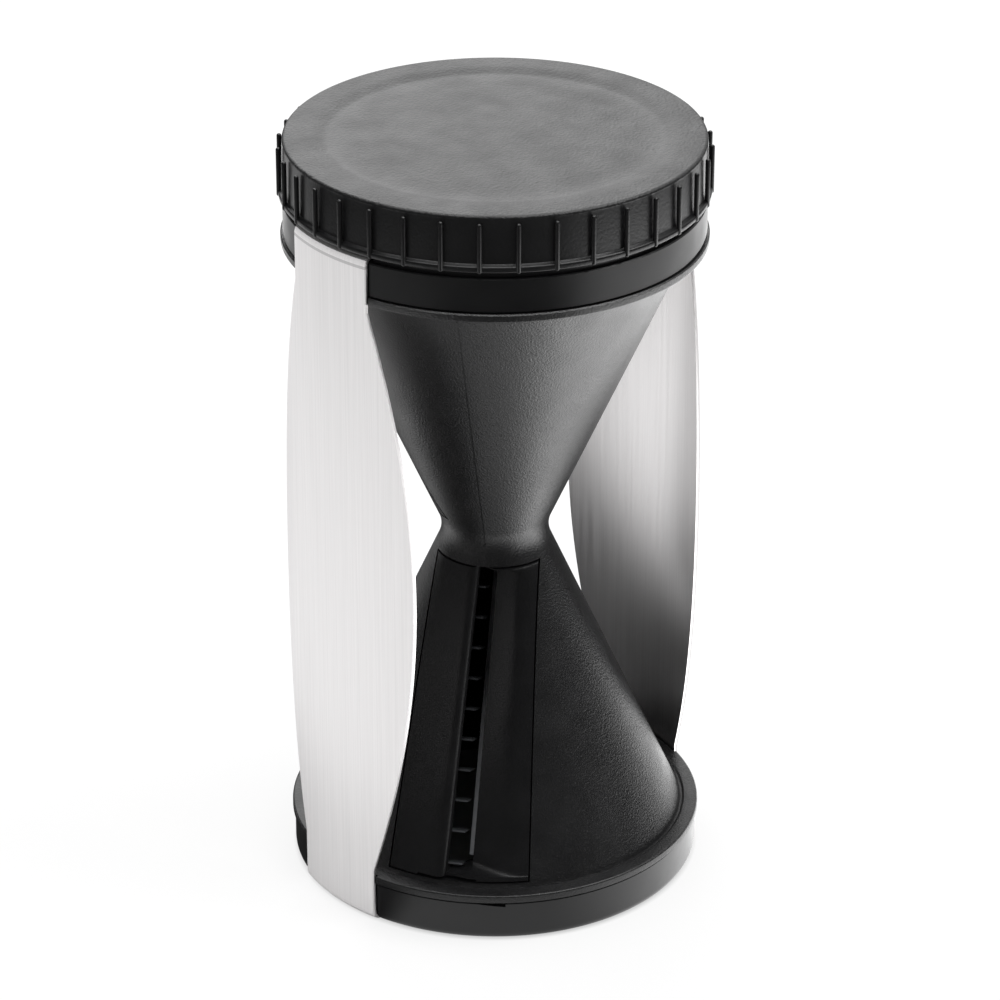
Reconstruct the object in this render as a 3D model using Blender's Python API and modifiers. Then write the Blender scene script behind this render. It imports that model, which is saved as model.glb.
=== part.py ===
"""Hourglass spiralizer: two funnels joined at a waist, each with its own slicing insert,
two steel grip strips and a ribbed guard cap with a spiked food holder.

Metres, +Z up. The origin is at the middle of the foot, on the surface that it stands on.
The strips lie on the X axis. Every angle is an azimuth from +X, in degrees.
"""

from math import atan, cos, degrees, pi, radians, sin, sqrt

import bmesh
import bpy
from mathutils import Matrix, Vector

# Overall
BODY_HEIGHT = 0.1184
RIM_RADIUS = 0.0336
GAP = 0.0003
MERGE = 0.000001

# Funnels
CONE_FOOT_INSET = 0.0027
WAIST_RADIUS = 0.0082
WAIST_FILLET = 0.0060
FUNNEL_WALL = 0.0022
MOUTH_WALL = 0.0021
FLANGE_THICKNESS = 0.0014
FLANGE_OVERHANG = 0.0004
FLANGE_EDGE = 0.0004
FOOT_GROOVE_WIDTH = 0.0013
FOOT_GROOVE_DEPTH = 0.0004
FOOT_GROOVE_FLAT = (0.25, 0.6)

# Rim rings
RING_HEIGHT = 0.0067
RING_WALL = 0.0023
RING_END_THICKNESS = 0.0024
RING_CORNER = 0.0014
RING_EDGE = 0.00015
SEAM_NOTCH_DEPTH = 0.0007
SEAM_NOTCH_HEIGHT = 0.0007
SEAM_NOTCH_START = 0.1
BASE_NOTCH_AZIMUTHS = (223.5, 233.4)
TOP_NOTCH_AZIMUTHS = (284.5, 318.0)

# Grip strips
STRIP_THICKNESS = 0.0006
STRIP_PROUD = 0.00065
STRIP_END_WIDTH = 0.0176
STRIP_MIDDLE_WIDTH = 0.0326
STRIP_STRAIGHT_END = 0.0095
STRIP_BEND = 0.0016
STRIP_HOOK = 0.0040
STRIP_INSET = 0.0001

# Blade carriers
COARSE_AZIMUTH = 218.5
FINE_AZIMUTH = 118.5
CARRIER_WAIST_OFFSET = 0.0034
CARRIER_WAIST_HALF_WIDTH = 0.0083
CARRIER_FOOT_HALF_WIDTH = 0.0115
CARRIER_GAP = 0.00025
CARRIER_WALL = 0.0024
CARRIER_BACK = 0.0030
CARRIER_LIP = 0.0005
CARRIER_FOOT_PLATE = 0.0006
LEFT_WING_COLUMNS = (1.0, 0.93, 0.82, 0.64)
RIGHT_WING_COLUMNS = 6
SLOT_ROWS = 6
RIDGE_HEIGHT = 0.0007
RIDGE_ROUND = 0.0003
RIDGE_SHOULDER = 0.0010
RIDGE_FADE = 0.0090
FOOT_POCKET_SIDES = (-0.0066, 0.0033)
FOOT_POCKET_DEPTH = 0.0010

# Blades and combs
BLADE_EDGE_OFFSET = 0.0009
BLADE_WIDTH = 0.0048
BLADE_THICKNESS = 0.0006
BLADE_BEVEL = 0.0012
BLADE_BEVEL_SHOWN = 0.00108
BLADE_EDGE_LAND = 0.00005
BLADE_LIFT = 20.0
COMB_SPINE_WIDTH = 0.0024
COMB_SPINE_OFFSET = -0.0022
COMB_THICKNESS = 0.0004
TOOTH_THICKNESS = 0.0003
TOOTH_INSET = 0.0005
TOOTH_SINK = 0.00005
TOOTH_TIP = 0.0010
COARSE_STRAND = 0.0035
COARSE_PITCH = 0.0050
COARSE_FIRST_TOOTH = 0.0061
COARSE_SLOT_WIDTHS = (0.0007, 0.0027)
FINE_STRAND = 0.0020
FINE_PITCH = 0.0030
FINE_FIRST_TOOTH = 0.0035
FINE_SLOT_WIDTHS = (0.0007, 0.0018)

# Guard
CAP_HEIGHT = 0.0087
CAP_WALL = 0.0016
CAP_PLATE = 0.0018
CAP_EDGE = 0.0006
CAP_DRAFT = 0.0001
CAP_DISH_INSET = 0.0058
CAP_CREASE = 0.0017
CAP_DISH_DEPTH = 0.0004
CAP_BEAD = 0.0007
CAP_BEAD_HEIGHT = 0.0011
CAP_BEAD_ROUND = 0.0003
RIB_COUNT = 36
RIB_RADIUS = 0.0006
RIB_PROUD = 0.0009
RIB_TOP_DROP = 0.0014
RIB_FIRST_AZIMUTH = 226.5
HOLDER_DISC = 0.0025
HOLDER_RIM_WALL = 0.0022
SPIGOT_DEPTH = 0.0035
SPIGOT_WALL = 0.0016
SPIGOT_CHAMFER = 0.0006
BOSS_RADIUS = 0.0125
BOSS_DROP = 0.0015
SPIKE_RADIUS = 0.0011
SPIKE_HEAD_RADIUS = 0.0022
SPIKE_HEAD = 0.0019
SPIKE_LENGTH = 0.0135
CENTRE_SPIKE_EXTRA = 0.0020
SPIKE_POINT = 0.0035
SPIKE_COUNT = 5
SPIKE_CIRCLE = 0.0085

# Facets
BODY_STEPS = 52
STRIP_STEPS = 64
GUARD_STEPS = 52
HOLDER_STEPS = 38
SPIKE_STEPS = 12
ARC_STEPS = 4
BEND_STEPS = 3
BULGE_STEPS = 16
NOTCH_STEPS = 6
FRONT_AZIMUTH = 270.0

# Worked out from the sizes above
MIDDLE = BODY_HEIGHT / 2
FLANGE_UNDER = RING_HEIGHT + GAP
FLANGE_FACE = FLANGE_UNDER + FLANGE_THICKNESS
FLANGE_RADIUS = RIM_RADIUS + FLANGE_OVERHANG
CONE_FOOT_RADIUS = RIM_RADIUS - CONE_FOOT_INSET
CONE_SLOPE = (CONE_FOOT_RADIUS - WAIST_RADIUS) / (MIDDLE - FLANGE_FACE)
CONE_ANGLE = atan(CONE_SLOPE)
WALL_OUT = FUNNEL_WALL / cos(CONE_ANGLE)
MOUTH_OUTER = RIM_RADIUS - RING_WALL - GAP
MOUTH_RADIUS = MOUTH_OUTER - MOUTH_WALL
CARRIER_BOTTOM = FLANGE_FACE + FOOT_GROOVE_DEPTH + GAP
CARRIER_TOP = MIDDLE - CARRIER_WAIST_OFFSET - GAP
SLOT_BOTTOM = CARRIER_BOTTOM + CARRIER_FOOT_PLATE
SLOT_TOP = CARRIER_TOP - CARRIER_LIP
PLASTIC_EDGE = BLADE_EDGE_OFFSET + BLADE_BEVEL_SHOWN
STRIP_OUTER = RIM_RADIUS + STRIP_PROUD
STRIP_INNER = STRIP_OUTER - STRIP_THICKNESS
HOOK_RADIUS = STRIP_OUTER - STRIP_HOOK
GUARD_SEAT = BODY_HEIGHT + GAP
CAP_TOP = BODY_HEIGHT + GAP + CAP_HEIGHT
PLATE_UNDER = CAP_TOP - CAP_DISH_DEPTH - CAP_PLATE
SPIKE_HEAD_UNDER = PLATE_UNDER - GAP - SPIKE_HEAD

BLACK_PLASTIC = (0.012, 0.012, 0.013, 1.0)
GREY_PLASTIC = (0.045, 0.046, 0.048, 1.0)
BRUSHED_STEEL = (0.62, 0.61, 0.60, 1.0)
BLADE_STEEL = (0.55, 0.56, 0.58, 1.0)


def clear_scene():
    for scene_object in list(bpy.data.objects):
        bpy.data.objects.remove(scene_object, do_unlink=True)


def new_collection(name):
    collection = bpy.data.collections.new(name)
    bpy.context.scene.collection.children.link(collection)
    return collection


clear_scene()
PARTS = new_collection("Spiralizer")
CUTTERS = new_collection("Spiralizer cutters")


def new_material(name, colour, metallic, roughness):
    material = bpy.data.materials.new(name)
    material.use_nodes = True
    shader = material.node_tree.nodes["Principled BSDF"]
    shader.inputs["Base Color"].default_value = colour
    shader.inputs["Metallic"].default_value = metallic
    shader.inputs["Roughness"].default_value = roughness
    return material


def finish_part(part, colour, metallic=0.0, roughness=0.5):
    """Give a finished sub-part its own material and smooth round faces."""
    part.data.materials.clear()
    part.data.materials.append(new_material(part.name, colour, metallic, roughness))
    part.data.shade_smooth()
    return part


def add_object(name, mesh, collection):
    new_object = bpy.data.objects.new(name, mesh)
    collection.objects.link(new_object)
    if collection is CUTTERS:
        new_object.hide_render = True
        new_object.display_type = "WIRE"
    return new_object


def arc(centre, radius, start, end, steps=ARC_STEPS):
    """Points of a circular arc in a profile, angles in degrees from +X."""
    points = []
    for i in range(steps + 1):
        angle = radians(start + (end - start) * i / steps)
        points.append((centre[0] + radius * cos(angle), centre[1] + radius * sin(angle)))
    return points


def turn(name, profile, steps, closed=True, collection=PARTS):
    """A turned shape. The profile at +X runs down its outer side."""
    mesh = bpy.data.meshes.new(name)
    count = len(profile)
    edges = [(i, i + 1) for i in range(count - 1)]
    if closed:
        edges.append((count - 1, 0))
    mesh.from_pydata([(r, 0.0, z) for r, z in profile], edges, [])
    turned = add_object(name, mesh, collection)
    screw = turned.modifiers.new("Turn", "SCREW")
    screw.steps = steps
    screw.render_steps = steps
    screw.use_merge_vertices = True
    screw.merge_threshold = MERGE
    return turned


def prism(name, outline, start, end, frame=None, collection=CUTTERS):
    """A flat outline in the frame's XY plane, given thickness from start to end along its Z."""
    curve = bpy.data.curves.new(name, "CURVE")
    curve.dimensions = "2D"
    curve.fill_mode = "BOTH"
    curve.extrude = abs(end - start) / 2
    spline = curve.splines.new("POLY")
    spline.points.add(len(outline) - 1)
    for point, (x, y) in zip(spline.points, outline):
        point.co = (x, y, 0.0, 1.0)
    spline.use_cyclic_u = True
    sketch = bpy.data.objects.new(name + "_sketch", curve)
    bpy.context.scene.collection.objects.link(sketch)
    sketch.matrix_world = (frame or Matrix()) @ Matrix.Translation((0, 0, (start + end) / 2))
    bpy.context.view_layer.update()
    depsgraph = bpy.context.evaluated_depsgraph_get()
    mesh = bpy.data.meshes.new_from_object(sketch.evaluated_get(depsgraph))
    build = bmesh.new()
    build.from_mesh(mesh)
    bmesh.ops.remove_doubles(build, verts=build.verts, dist=MERGE)
    bmesh.ops.recalc_face_normals(build, faces=build.faces)
    build.to_mesh(mesh)
    build.free()
    solid = add_object(name, mesh, collection)
    solid.matrix_world = sketch.matrix_world.copy()
    bpy.data.objects.remove(sketch)
    return solid


def box_outline(x0, x1, y0, y1):
    return [(x0, y0), (x1, y0), (x1, y1), (x0, y1)]


def combine(part, other, operation):
    modifier = part.modifiers.new(operation.title(), "BOOLEAN")
    modifier.operation = operation
    modifier.solver = "EXACT"
    modifier.object = other


def cut(part, *tools):
    for tool in tools:
        combine(part, tool, "DIFFERENCE")


def mirrored(profile):
    """The same profile points, turned over end for end about the middle of the height."""
    return [(r, BODY_HEIGHT - z) for r, z in reversed(profile)]


def cone_radius(z):
    """Outer radius of the cones at a height, as straight lines that meet at the waist."""
    return WAIST_RADIUS + CONE_SLOPE * abs(z - MIDDLE)


def bore_radius(z):
    return cone_radius(z) - WALL_OUT


def bore_height(radius):
    """Height in the lower cone at which the bore has this radius."""
    return MIDDLE - (radius + WALL_OUT - WAIST_RADIUS) / CONE_SLOPE


def outline_plane():
    """Plane for a front view's outline: X to the right, Y up, and Z forward to the viewer."""
    return Matrix.Rotation(pi / 2, 4, "X")


def facing(azimuth):
    """Turns what is modelled in front view, seen along +Y, so that it faces this azimuth."""
    return Matrix.Rotation(radians(azimuth - FRONT_AZIMUTH), 4, "Z")


def end_for_end():
    """Half a turn about the strips' axis, which carries the lower half onto the upper half."""
    return Matrix.Translation((0, 0, BODY_HEIGHT)) @ Matrix.Rotation(pi, 4, "X")


def waist_arc(fillet, radius_at_waist):
    """Concave fillet between the two cones, from the upper cone down to the lower one."""
    centre = (radius_at_waist + fillet / cos(CONE_ANGLE), MIDDLE)
    reach = degrees(CONE_ANGLE)
    return arc(centre, fillet, 180.0 - reach, 180.0 + reach)


def end_profile():
    """Lower end of the funnel body, from the cone's foot round the flange into the mouth."""
    groove_floor = FLANGE_FACE - FOOT_GROOVE_DEPTH
    groove_top = FLANGE_FACE + FOOT_GROOVE_DEPTH
    edge = FLANGE_EDGE
    return [
        (cone_radius(groove_top), groove_top),
        *[(CONE_FOOT_RADIUS + FOOT_GROOVE_WIDTH * share, groove_floor) for share in FOOT_GROOVE_FLAT],
        (CONE_FOOT_RADIUS + FOOT_GROOVE_WIDTH, FLANGE_FACE),
        *arc((FLANGE_RADIUS - edge, FLANGE_FACE - edge), edge, 90.0, 0.0, 2),
        (FLANGE_RADIUS, FLANGE_UNDER + RING_EDGE),
        (FLANGE_RADIUS - RING_EDGE, FLANGE_UNDER),
        (MOUTH_OUTER, FLANGE_UNDER),
        (MOUTH_OUTER, RING_END_THICKNESS + GAP),
        (MOUTH_RADIUS, RING_END_THICKNESS + GAP),
        (MOUTH_RADIUS, bore_height(MOUTH_RADIUS)),
    ]


def along_carrier(z, foot, waist):
    """A carrier's size at a height in the lower cone, between its sizes at the foot and the waist."""
    return foot + (waist - foot) * (z - CARRIER_BOTTOM) / (CARRIER_TOP - CARRIER_BOTTOM)


def carrier_half_width(z):
    return along_carrier(z, CARRIER_FOOT_HALF_WIDTH, CARRIER_WAIST_HALF_WIDTH)


def window_cutter(name, placement):
    """Opening in a cone that a carrier fits, with a fine gap all round."""
    ends = (CARRIER_BOTTOM - GAP, CARRIER_TOP + GAP)
    right = [(carrier_half_width(z) + CARRIER_GAP, z) for z in ends]
    outline = right + [(-x, z) for x, z in reversed(right)]
    return prism(name, outline, CARRIER_BACK - GAP, FLANGE_RADIUS * 2, placement @ outline_plane())


def strip_seat(name, upper):
    """Cutter that follows the strips round a ring's end, its side and the flange, a gap away from them."""
    bend = STRIP_BEND - STRIP_THICKNESS - GAP
    centre = (STRIP_OUTER - STRIP_BEND, STRIP_INSET + STRIP_BEND)
    floor = STRIP_INSET + STRIP_THICKNESS + GAP
    outer = STRIP_OUTER + STRIP_THICKNESS
    top = FLANGE_FACE + GAP
    profile = [
        (outer, top),
        (outer, -GAP),
        (HOOK_RADIUS - GAP, -GAP),
        (HOOK_RADIUS - GAP, floor),
        *arc(centre, bend, -90.0, 0.0, BEND_STEPS),
        (STRIP_INNER - GAP, top),
    ]
    if upper:
        profile = mirrored(profile)
    seat = turn(name, profile, BODY_STEPS, collection=CUTTERS)
    half = STRIP_END_WIDTH / 2 + GAP
    outline = box_outline(-half, half, -RIM_RADIUS, BODY_HEIGHT + RIM_RADIUS)
    reach = STRIP_OUTER * 2
    width = prism(name + "_width", outline, -reach, reach, facing(0.0) @ outline_plane())
    combine(seat, width, "INTERSECT")
    return seat


def make_funnel_body():
    lower_end = end_profile()
    profile = [
        *mirrored(lower_end),
        *waist_arc(WAIST_FILLET, WAIST_RADIUS),
        *lower_end,
        *reversed(waist_arc(WAIST_FILLET + WALL_OUT, WAIST_RADIUS - WALL_OUT)),
    ]
    body = turn("funnel_body", profile, BODY_STEPS)
    cut(
        body,
        window_cutter("coarse_window", facing(COARSE_AZIMUTH)),
        window_cutter("fine_window", end_for_end() @ facing(-FINE_AZIMUTH)),
        strip_seat("lower_flange_seat", upper=False),
        strip_seat("upper_flange_seat", upper=True),
    )
    return finish_part(body, BLACK_PLASTIC, roughness=0.45)


def ring_profile():
    """Lower rim ring: an L section with a rounded corner at the end that it stands on."""
    inner_end = MOUTH_RADIUS + GAP
    inner_wall = MOUTH_OUTER + GAP
    corner = RING_CORNER
    return [
        (inner_wall, RING_HEIGHT),
        (RIM_RADIUS - RING_EDGE, RING_HEIGHT),
        (RIM_RADIUS, RING_HEIGHT - RING_EDGE),
        *arc((RIM_RADIUS - corner, corner), corner, 0.0, -90.0, BEND_STEPS),
        (inner_end, 0.0),
        (inner_end, RING_END_THICKNESS),
        (inner_wall, RING_END_THICKNESS),
    ]


def seam_notch(name, azimuths, upper):
    """Tapered recess in a ring's edge beside the seam, deepest at its second azimuth."""
    start, end = azimuths
    if upper:
        start, end = -start, -end
    seam = RING_HEIGHT + GAP
    outer = FLANGE_RADIUS
    inner = RIM_RADIUS - SEAM_NOTCH_DEPTH
    rows = []
    for i in range(NOTCH_STEPS + 1):
        share = i / NOTCH_STEPS
        angle = radians(start + (end - start) * share)
        drop = SEAM_NOTCH_HEIGHT * (SEAM_NOTCH_START + (1 - SEAM_NOTCH_START) * share)
        corners = ((outer, seam), (inner, seam), (inner, RING_HEIGHT - drop), (outer, RING_HEIGHT - drop))
        rows.append([Vector((r * cos(angle), r * sin(angle), z)) for r, z in corners])
    build = bmesh.new()
    loops = [[build.verts.new(point) for point in row] for row in rows]
    for first, second in zip(loops, loops[1:]):
        for k in range(len(first)):
            build.faces.new((first[k - 1], first[k], second[k], second[k - 1]))
    build.faces.new(loops[0])
    build.faces.new(loops[-1])
    bmesh.ops.recalc_face_normals(build, faces=build.faces)
    mesh = bpy.data.meshes.new(name)
    build.to_mesh(mesh)
    build.free()
    notch = add_object(name, mesh, CUTTERS)
    if upper:
        notch.matrix_world = end_for_end()
    return notch


def make_rim_ring(name, upper):
    profile = mirrored(ring_profile()) if upper else ring_profile()
    ring = turn(name, profile, BODY_STEPS)
    azimuths = TOP_NOTCH_AZIMUTHS if upper else BASE_NOTCH_AZIMUTHS
    cut(ring, strip_seat(name + "_seat", upper), seam_notch(name + "_notch", azimuths, upper))
    return finish_part(ring, BLACK_PLASTIC, roughness=0.35)


def strip_profile():
    """Bent sheet seen from its edge: a long web with a hook at each end."""
    low, high = STRIP_INSET, BODY_HEIGHT - STRIP_INSET
    bend_r = STRIP_OUTER - STRIP_BEND
    inside = STRIP_BEND - STRIP_THICKNESS
    top, bottom = (bend_r, high - STRIP_BEND), (bend_r, low + STRIP_BEND)
    return [
        (HOOK_RADIUS, high),
        *arc(top, STRIP_BEND, 90.0, 0.0, BEND_STEPS),
        *arc(bottom, STRIP_BEND, 0.0, -90.0, BEND_STEPS),
        (HOOK_RADIUS, low),
        (HOOK_RADIUS, low + STRIP_THICKNESS),
        *arc(bottom, inside, -90.0, 0.0, BEND_STEPS),
        *arc(top, inside, 0.0, 90.0, BEND_STEPS),
        (HOOK_RADIUS, high - STRIP_THICKNESS),
    ]


def strip_outline():
    """Front view of a strip: parallel over the rings, with long arcs that swell to the middle."""
    half_end = STRIP_END_WIDTH / 2
    half_middle = STRIP_MIDDLE_WIDTH / 2
    half_length = MIDDLE - STRIP_STRAIGHT_END
    swell = half_middle - half_end
    radius = (half_length**2 + swell**2) / (2 * swell)
    reach = degrees(atan(half_length / (radius - swell)))
    bulge = arc((half_middle - radius, MIDDLE), radius, -reach, reach, BULGE_STEPS)
    low, high = -STRIP_THICKNESS, BODY_HEIGHT + STRIP_THICKNESS
    right = [(half_end, low), *bulge, (half_end, high)]
    return right + [(-x, y) for x, y in reversed(right)]


def make_grip_strip(name, azimuth):
    sheet = turn(name, strip_profile(), STRIP_STEPS)
    frame = facing(azimuth) @ outline_plane()
    blank = prism(name + "_outline", strip_outline(), 0.0, STRIP_OUTER * 2, frame)
    combine(sheet, blank, "INTERSECT")
    return finish_part(sheet, BRUSHED_STEEL, metallic=1.0, roughness=0.28)


def slot_left(z, widths):
    """Left edge of a carrier's slot, which widens from the waist to the foot."""
    waist_width, foot_width = widths
    return BLADE_EDGE_OFFSET - along_carrier(z, foot_width, waist_width)


def blade_depth(x, z, strand):
    """Distance of the blade's inner face from the axis, in front view."""
    return bore_radius(z) - strand + (x - BLADE_EDGE_OFFSET) * sin(radians(BLADE_LIFT))


def round_depth(radius, x):
    """Distance from the axis plane of a circle at this side offset, no nearer than the carrier's back."""
    return sqrt(max(radius**2 - x**2, CARRIER_BACK**2))


def left_columns(z, widths):
    """Side offsets of the left wing's points, closer together where the round wall turns away.

    The last one lies inside the slot, so that the slot's side is cut through a face.
    """
    half = carrier_half_width(z)
    left = slot_left(z, widths)
    ridge = [left - RIDGE_SHOULDER, left - RIDGE_ROUND, left + RIDGE_ROUND]
    return [-half * share for share in LEFT_WING_COLUMNS] + ridge


def right_columns(z):
    half = carrier_half_width(z)
    rise = (half - PLASTIC_EDGE) / RIGHT_WING_COLUMNS
    return [PLASTIC_EDGE + rise * i for i in range(RIGHT_WING_COLUMNS)] + [half - rise / 2, half]


def carrier_section(z, widths, strand, closed_end):
    """Outer and inner points of a carrier at one height."""
    half = carrier_half_width(z)
    left = slot_left(z, widths)
    fade = min(1.0, (CARRIER_TOP - z) / RIDGE_FADE)
    outer, inner = [], []
    for x in left_columns(z, widths):
        ramp = (x + half) / (left + half)
        skin = round_depth(cone_radius(z), x) + RIDGE_HEIGHT * fade * ramp**2
        if x > left:
            skin -= 2 * RIDGE_ROUND
        outer.append(Vector((x, -skin, z)))
        inner.append(Vector((x, -round_depth(bore_radius(z), x), z)))
    for x in right_columns(z):
        wall = round_depth(cone_radius(z), x)
        plane = blade_depth(x, z, strand)
        skin = wall if closed_end else min(wall, plane + CARRIER_WALL)
        outer.append(Vector((x, -skin, z)))
        inner.append(Vector((x, -min(round_depth(bore_radius(z), x), plane), z)))
    return outer, inner


def loft_shell(name, sections, collection=PARTS):
    """Closed solid between the outer and inner points of each section."""
    build = bmesh.new()
    grids = [[[build.verts.new(p) for p in row] for row in rows] for rows in zip(*sections)]
    outer, inner = grids
    rows, columns = len(outer), len(outer[0])
    for grid in grids:
        for i in range(rows - 1):
            for k in range(columns - 1):
                build.faces.new((grid[i][k], grid[i][k + 1], grid[i + 1][k + 1], grid[i + 1][k]))
    for i in range(rows - 1):
        for k in (0, columns - 1):
            build.faces.new((outer[i][k], outer[i + 1][k], inner[i + 1][k], inner[i][k]))
    for k in range(columns - 1):
        for i in (0, rows - 1):
            build.faces.new((outer[i][k], outer[i][k + 1], inner[i][k + 1], inner[i][k]))
    bmesh.ops.recalc_face_normals(build, faces=build.faces)
    mesh = bpy.data.meshes.new(name)
    build.to_mesh(mesh)
    build.free()
    return add_object(name, mesh, collection)


def along_frame(side, rise, strand):
    """Frame on the carrier: X across it, Y outward from its face, Z down towards the foot.

    Its origin is at the height of the funnels' middle, at the side offset given.
    """
    down = Vector((0, -CONE_SLOPE, -1)).normalized()
    across = Vector((cos(radians(rise)), -sin(radians(rise)), 0))
    across = (across - across.dot(down) * down).normalized()
    outward = down.cross(across)
    origin = Vector((side, -(bore_radius(MIDDLE) - strand), MIDDLE))
    frame = Matrix((across, outward, down)).transposed().to_4x4()
    return Matrix.Translation(origin) @ frame


def down_slope(z):
    """Distance down the cone from the middle to a height."""
    return (MIDDLE - z) / cos(CONE_ANGLE)


def make_carrier(name, placement, strand, widths):
    """Insert with a slot between a raised left wing and a sunk right wing that holds the blade."""
    low, high = SLOT_BOTTOM + GAP, SLOT_TOP - GAP
    heights = [low + (high - low) * i / SLOT_ROWS for i in range(SLOT_ROWS + 1)]
    sections = [
        *[carrier_section(z, widths, strand, True) for z in (CARRIER_BOTTOM, SLOT_BOTTOM)],
        *[carrier_section(z, widths, strand, False) for z in heights],
        *[carrier_section(z, widths, strand, True) for z in (SLOT_TOP, CARRIER_TOP)],
    ]
    carrier = loft_shell(name, sections)
    carrier.matrix_world = placement

    face = placement @ outline_plane()
    slot_low = SLOT_BOTTOM + GAP / 2
    slot_outline = [
        (slot_left(slot_low, widths), slot_low),
        (PLASTIC_EDGE, slot_low),
        (PLASTIC_EDGE, high),
        (slot_left(high, widths), high),
    ]
    slot = prism(name + "_slot", slot_outline, 0.0, FLANGE_RADIUS * 2, face)

    start, end = down_slope(high), down_slope(low)
    blade_seat = prism(
        name + "_blade_seat",
        box_outline(-GAP, BLADE_WIDTH + GAP, -BLADE_WIDTH, BLADE_THICKNESS + GAP),
        start,
        end,
        placement @ along_frame(BLADE_EDGE_OFFSET, BLADE_LIFT, strand),
    )
    comb_seat = prism(
        name + "_comb_seat",
        box_outline(
            COMB_SPINE_OFFSET - COMB_SPINE_WIDTH - GAP,
            BLADE_EDGE_OFFSET - GAP,
            -BLADE_WIDTH,
            COMB_THICKNESS + GAP,
        ),
        start,
        end,
        placement @ along_frame(0.0, 0.0, 0.0),
    )
    pocket_outline = box_outline(*FOOT_POCKET_SIDES, CARRIER_BOTTOM - GAP, SLOT_BOTTOM - GAP)
    pocket_depth = cone_radius(CARRIER_BOTTOM) - FOOT_POCKET_DEPTH
    pocket = prism(name + "_pocket", pocket_outline, pocket_depth, FLANGE_RADIUS * 2, face)
    cut(carrier, slot, blade_seat, comb_seat, pocket)
    return finish_part(carrier, BLACK_PLASTIC, roughness=0.45)


def make_blade(name, placement, strand):
    """Flat steel blade with a bevel on its outer side, in the seat inside the carrier's right wing."""
    outline = [
        (0.0, 0.0),
        (BLADE_WIDTH, 0.0),
        (BLADE_WIDTH, BLADE_THICKNESS),
        (BLADE_BEVEL, BLADE_THICKNESS),
        (0.0, BLADE_EDGE_LAND),
    ]
    frame = placement @ along_frame(BLADE_EDGE_OFFSET, BLADE_LIFT, strand)
    start, end = down_slope(SLOT_TOP - 2 * GAP), down_slope(SLOT_BOTTOM + 2 * GAP)
    blade = prism(name, outline, start, end, frame, PARTS)
    return finish_part(blade, BLADE_STEEL, metallic=1.0, roughness=0.22)


def make_comb(name, placement, strand, pitch, first):
    """Steel spine with a row of upright knives that slit the food before the blade lifts it off.

    One more knife closes the slot at its foot end.
    """
    frame = placement @ along_frame(0.0, 0.0, 0.0)
    start, end = down_slope(SLOT_TOP - 2 * GAP), down_slope(SLOT_BOTTOM + 2 * GAP)
    right = COMB_SPINE_OFFSET
    left = right - COMB_SPINE_WIDTH
    spine_outline = box_outline(left, right, 0.0, COMB_THICKNESS)
    comb = prism(name, spine_outline, start, end, frame, PARTS)
    tip = BLADE_EDGE_OFFSET - 1.5 * GAP
    tooth_outline = [
        (left + TOOTH_INSET, COMB_THICKNESS / 2),
        (tip - TOOTH_TIP, -strand),
        (tip, -strand),
        (tip, COMB_THICKNESS - TOOTH_SINK),
        (right - TOOTH_INSET, COMB_THICKNESS - TOOTH_SINK),
    ]
    half = TOOTH_THICKNESS / 2
    nearest = down_slope(SLOT_BOTTOM) - first
    count = int((nearest - start) / pitch + 1 / 2)
    teeth = bmesh.new()
    for middle in [end - half, *[nearest - pitch * i for i in range(count)]]:
        tooth = prism(f"{name}_tooth", tooth_outline, middle - half, middle + half, frame)
        shape = tooth.data.copy()
        shape.transform(tooth.matrix_world)
        teeth.from_mesh(shape)
        bpy.data.objects.remove(tooth)
    mesh = bpy.data.meshes.new(name + "_teeth")
    teeth.to_mesh(mesh)
    teeth.free()
    combine(comb, add_object(name + "_teeth", mesh, CUTTERS), "UNION")
    return finish_part(comb, BLADE_STEEL, metallic=1.0, roughness=0.25)


def cap_profile():
    """Guard cap: a plate dished inside a soft crease, a skirt and a small bead at its bottom edge."""
    seat = GUARD_SEAT
    dish = CAP_TOP - CAP_DISH_DEPTH
    dish_radius = RIM_RADIUS - CAP_DISH_INSET
    bead = RIM_RADIUS + CAP_BEAD
    return [
        (0.0, dish),
        (dish_radius - CAP_CREASE, dish),
        (dish_radius, CAP_TOP - CAP_DISH_DEPTH / 2),
        (dish_radius + CAP_CREASE, CAP_TOP),
        *arc((RIM_RADIUS - CAP_DRAFT - CAP_EDGE, CAP_TOP - CAP_EDGE), CAP_EDGE, 90.0, 0.0, 2),
        (RIM_RADIUS, seat + CAP_BEAD_HEIGHT + CAP_BEAD_ROUND),
        (bead, seat + CAP_BEAD_HEIGHT - CAP_BEAD_ROUND),
        (bead, seat + CAP_BEAD_ROUND),
        (bead - CAP_BEAD_ROUND, seat),
        (RIM_RADIUS - CAP_WALL, seat),
        (RIM_RADIUS - CAP_WALL, PLATE_UNDER),
        (0.0, PLATE_UNDER),
    ]


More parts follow.
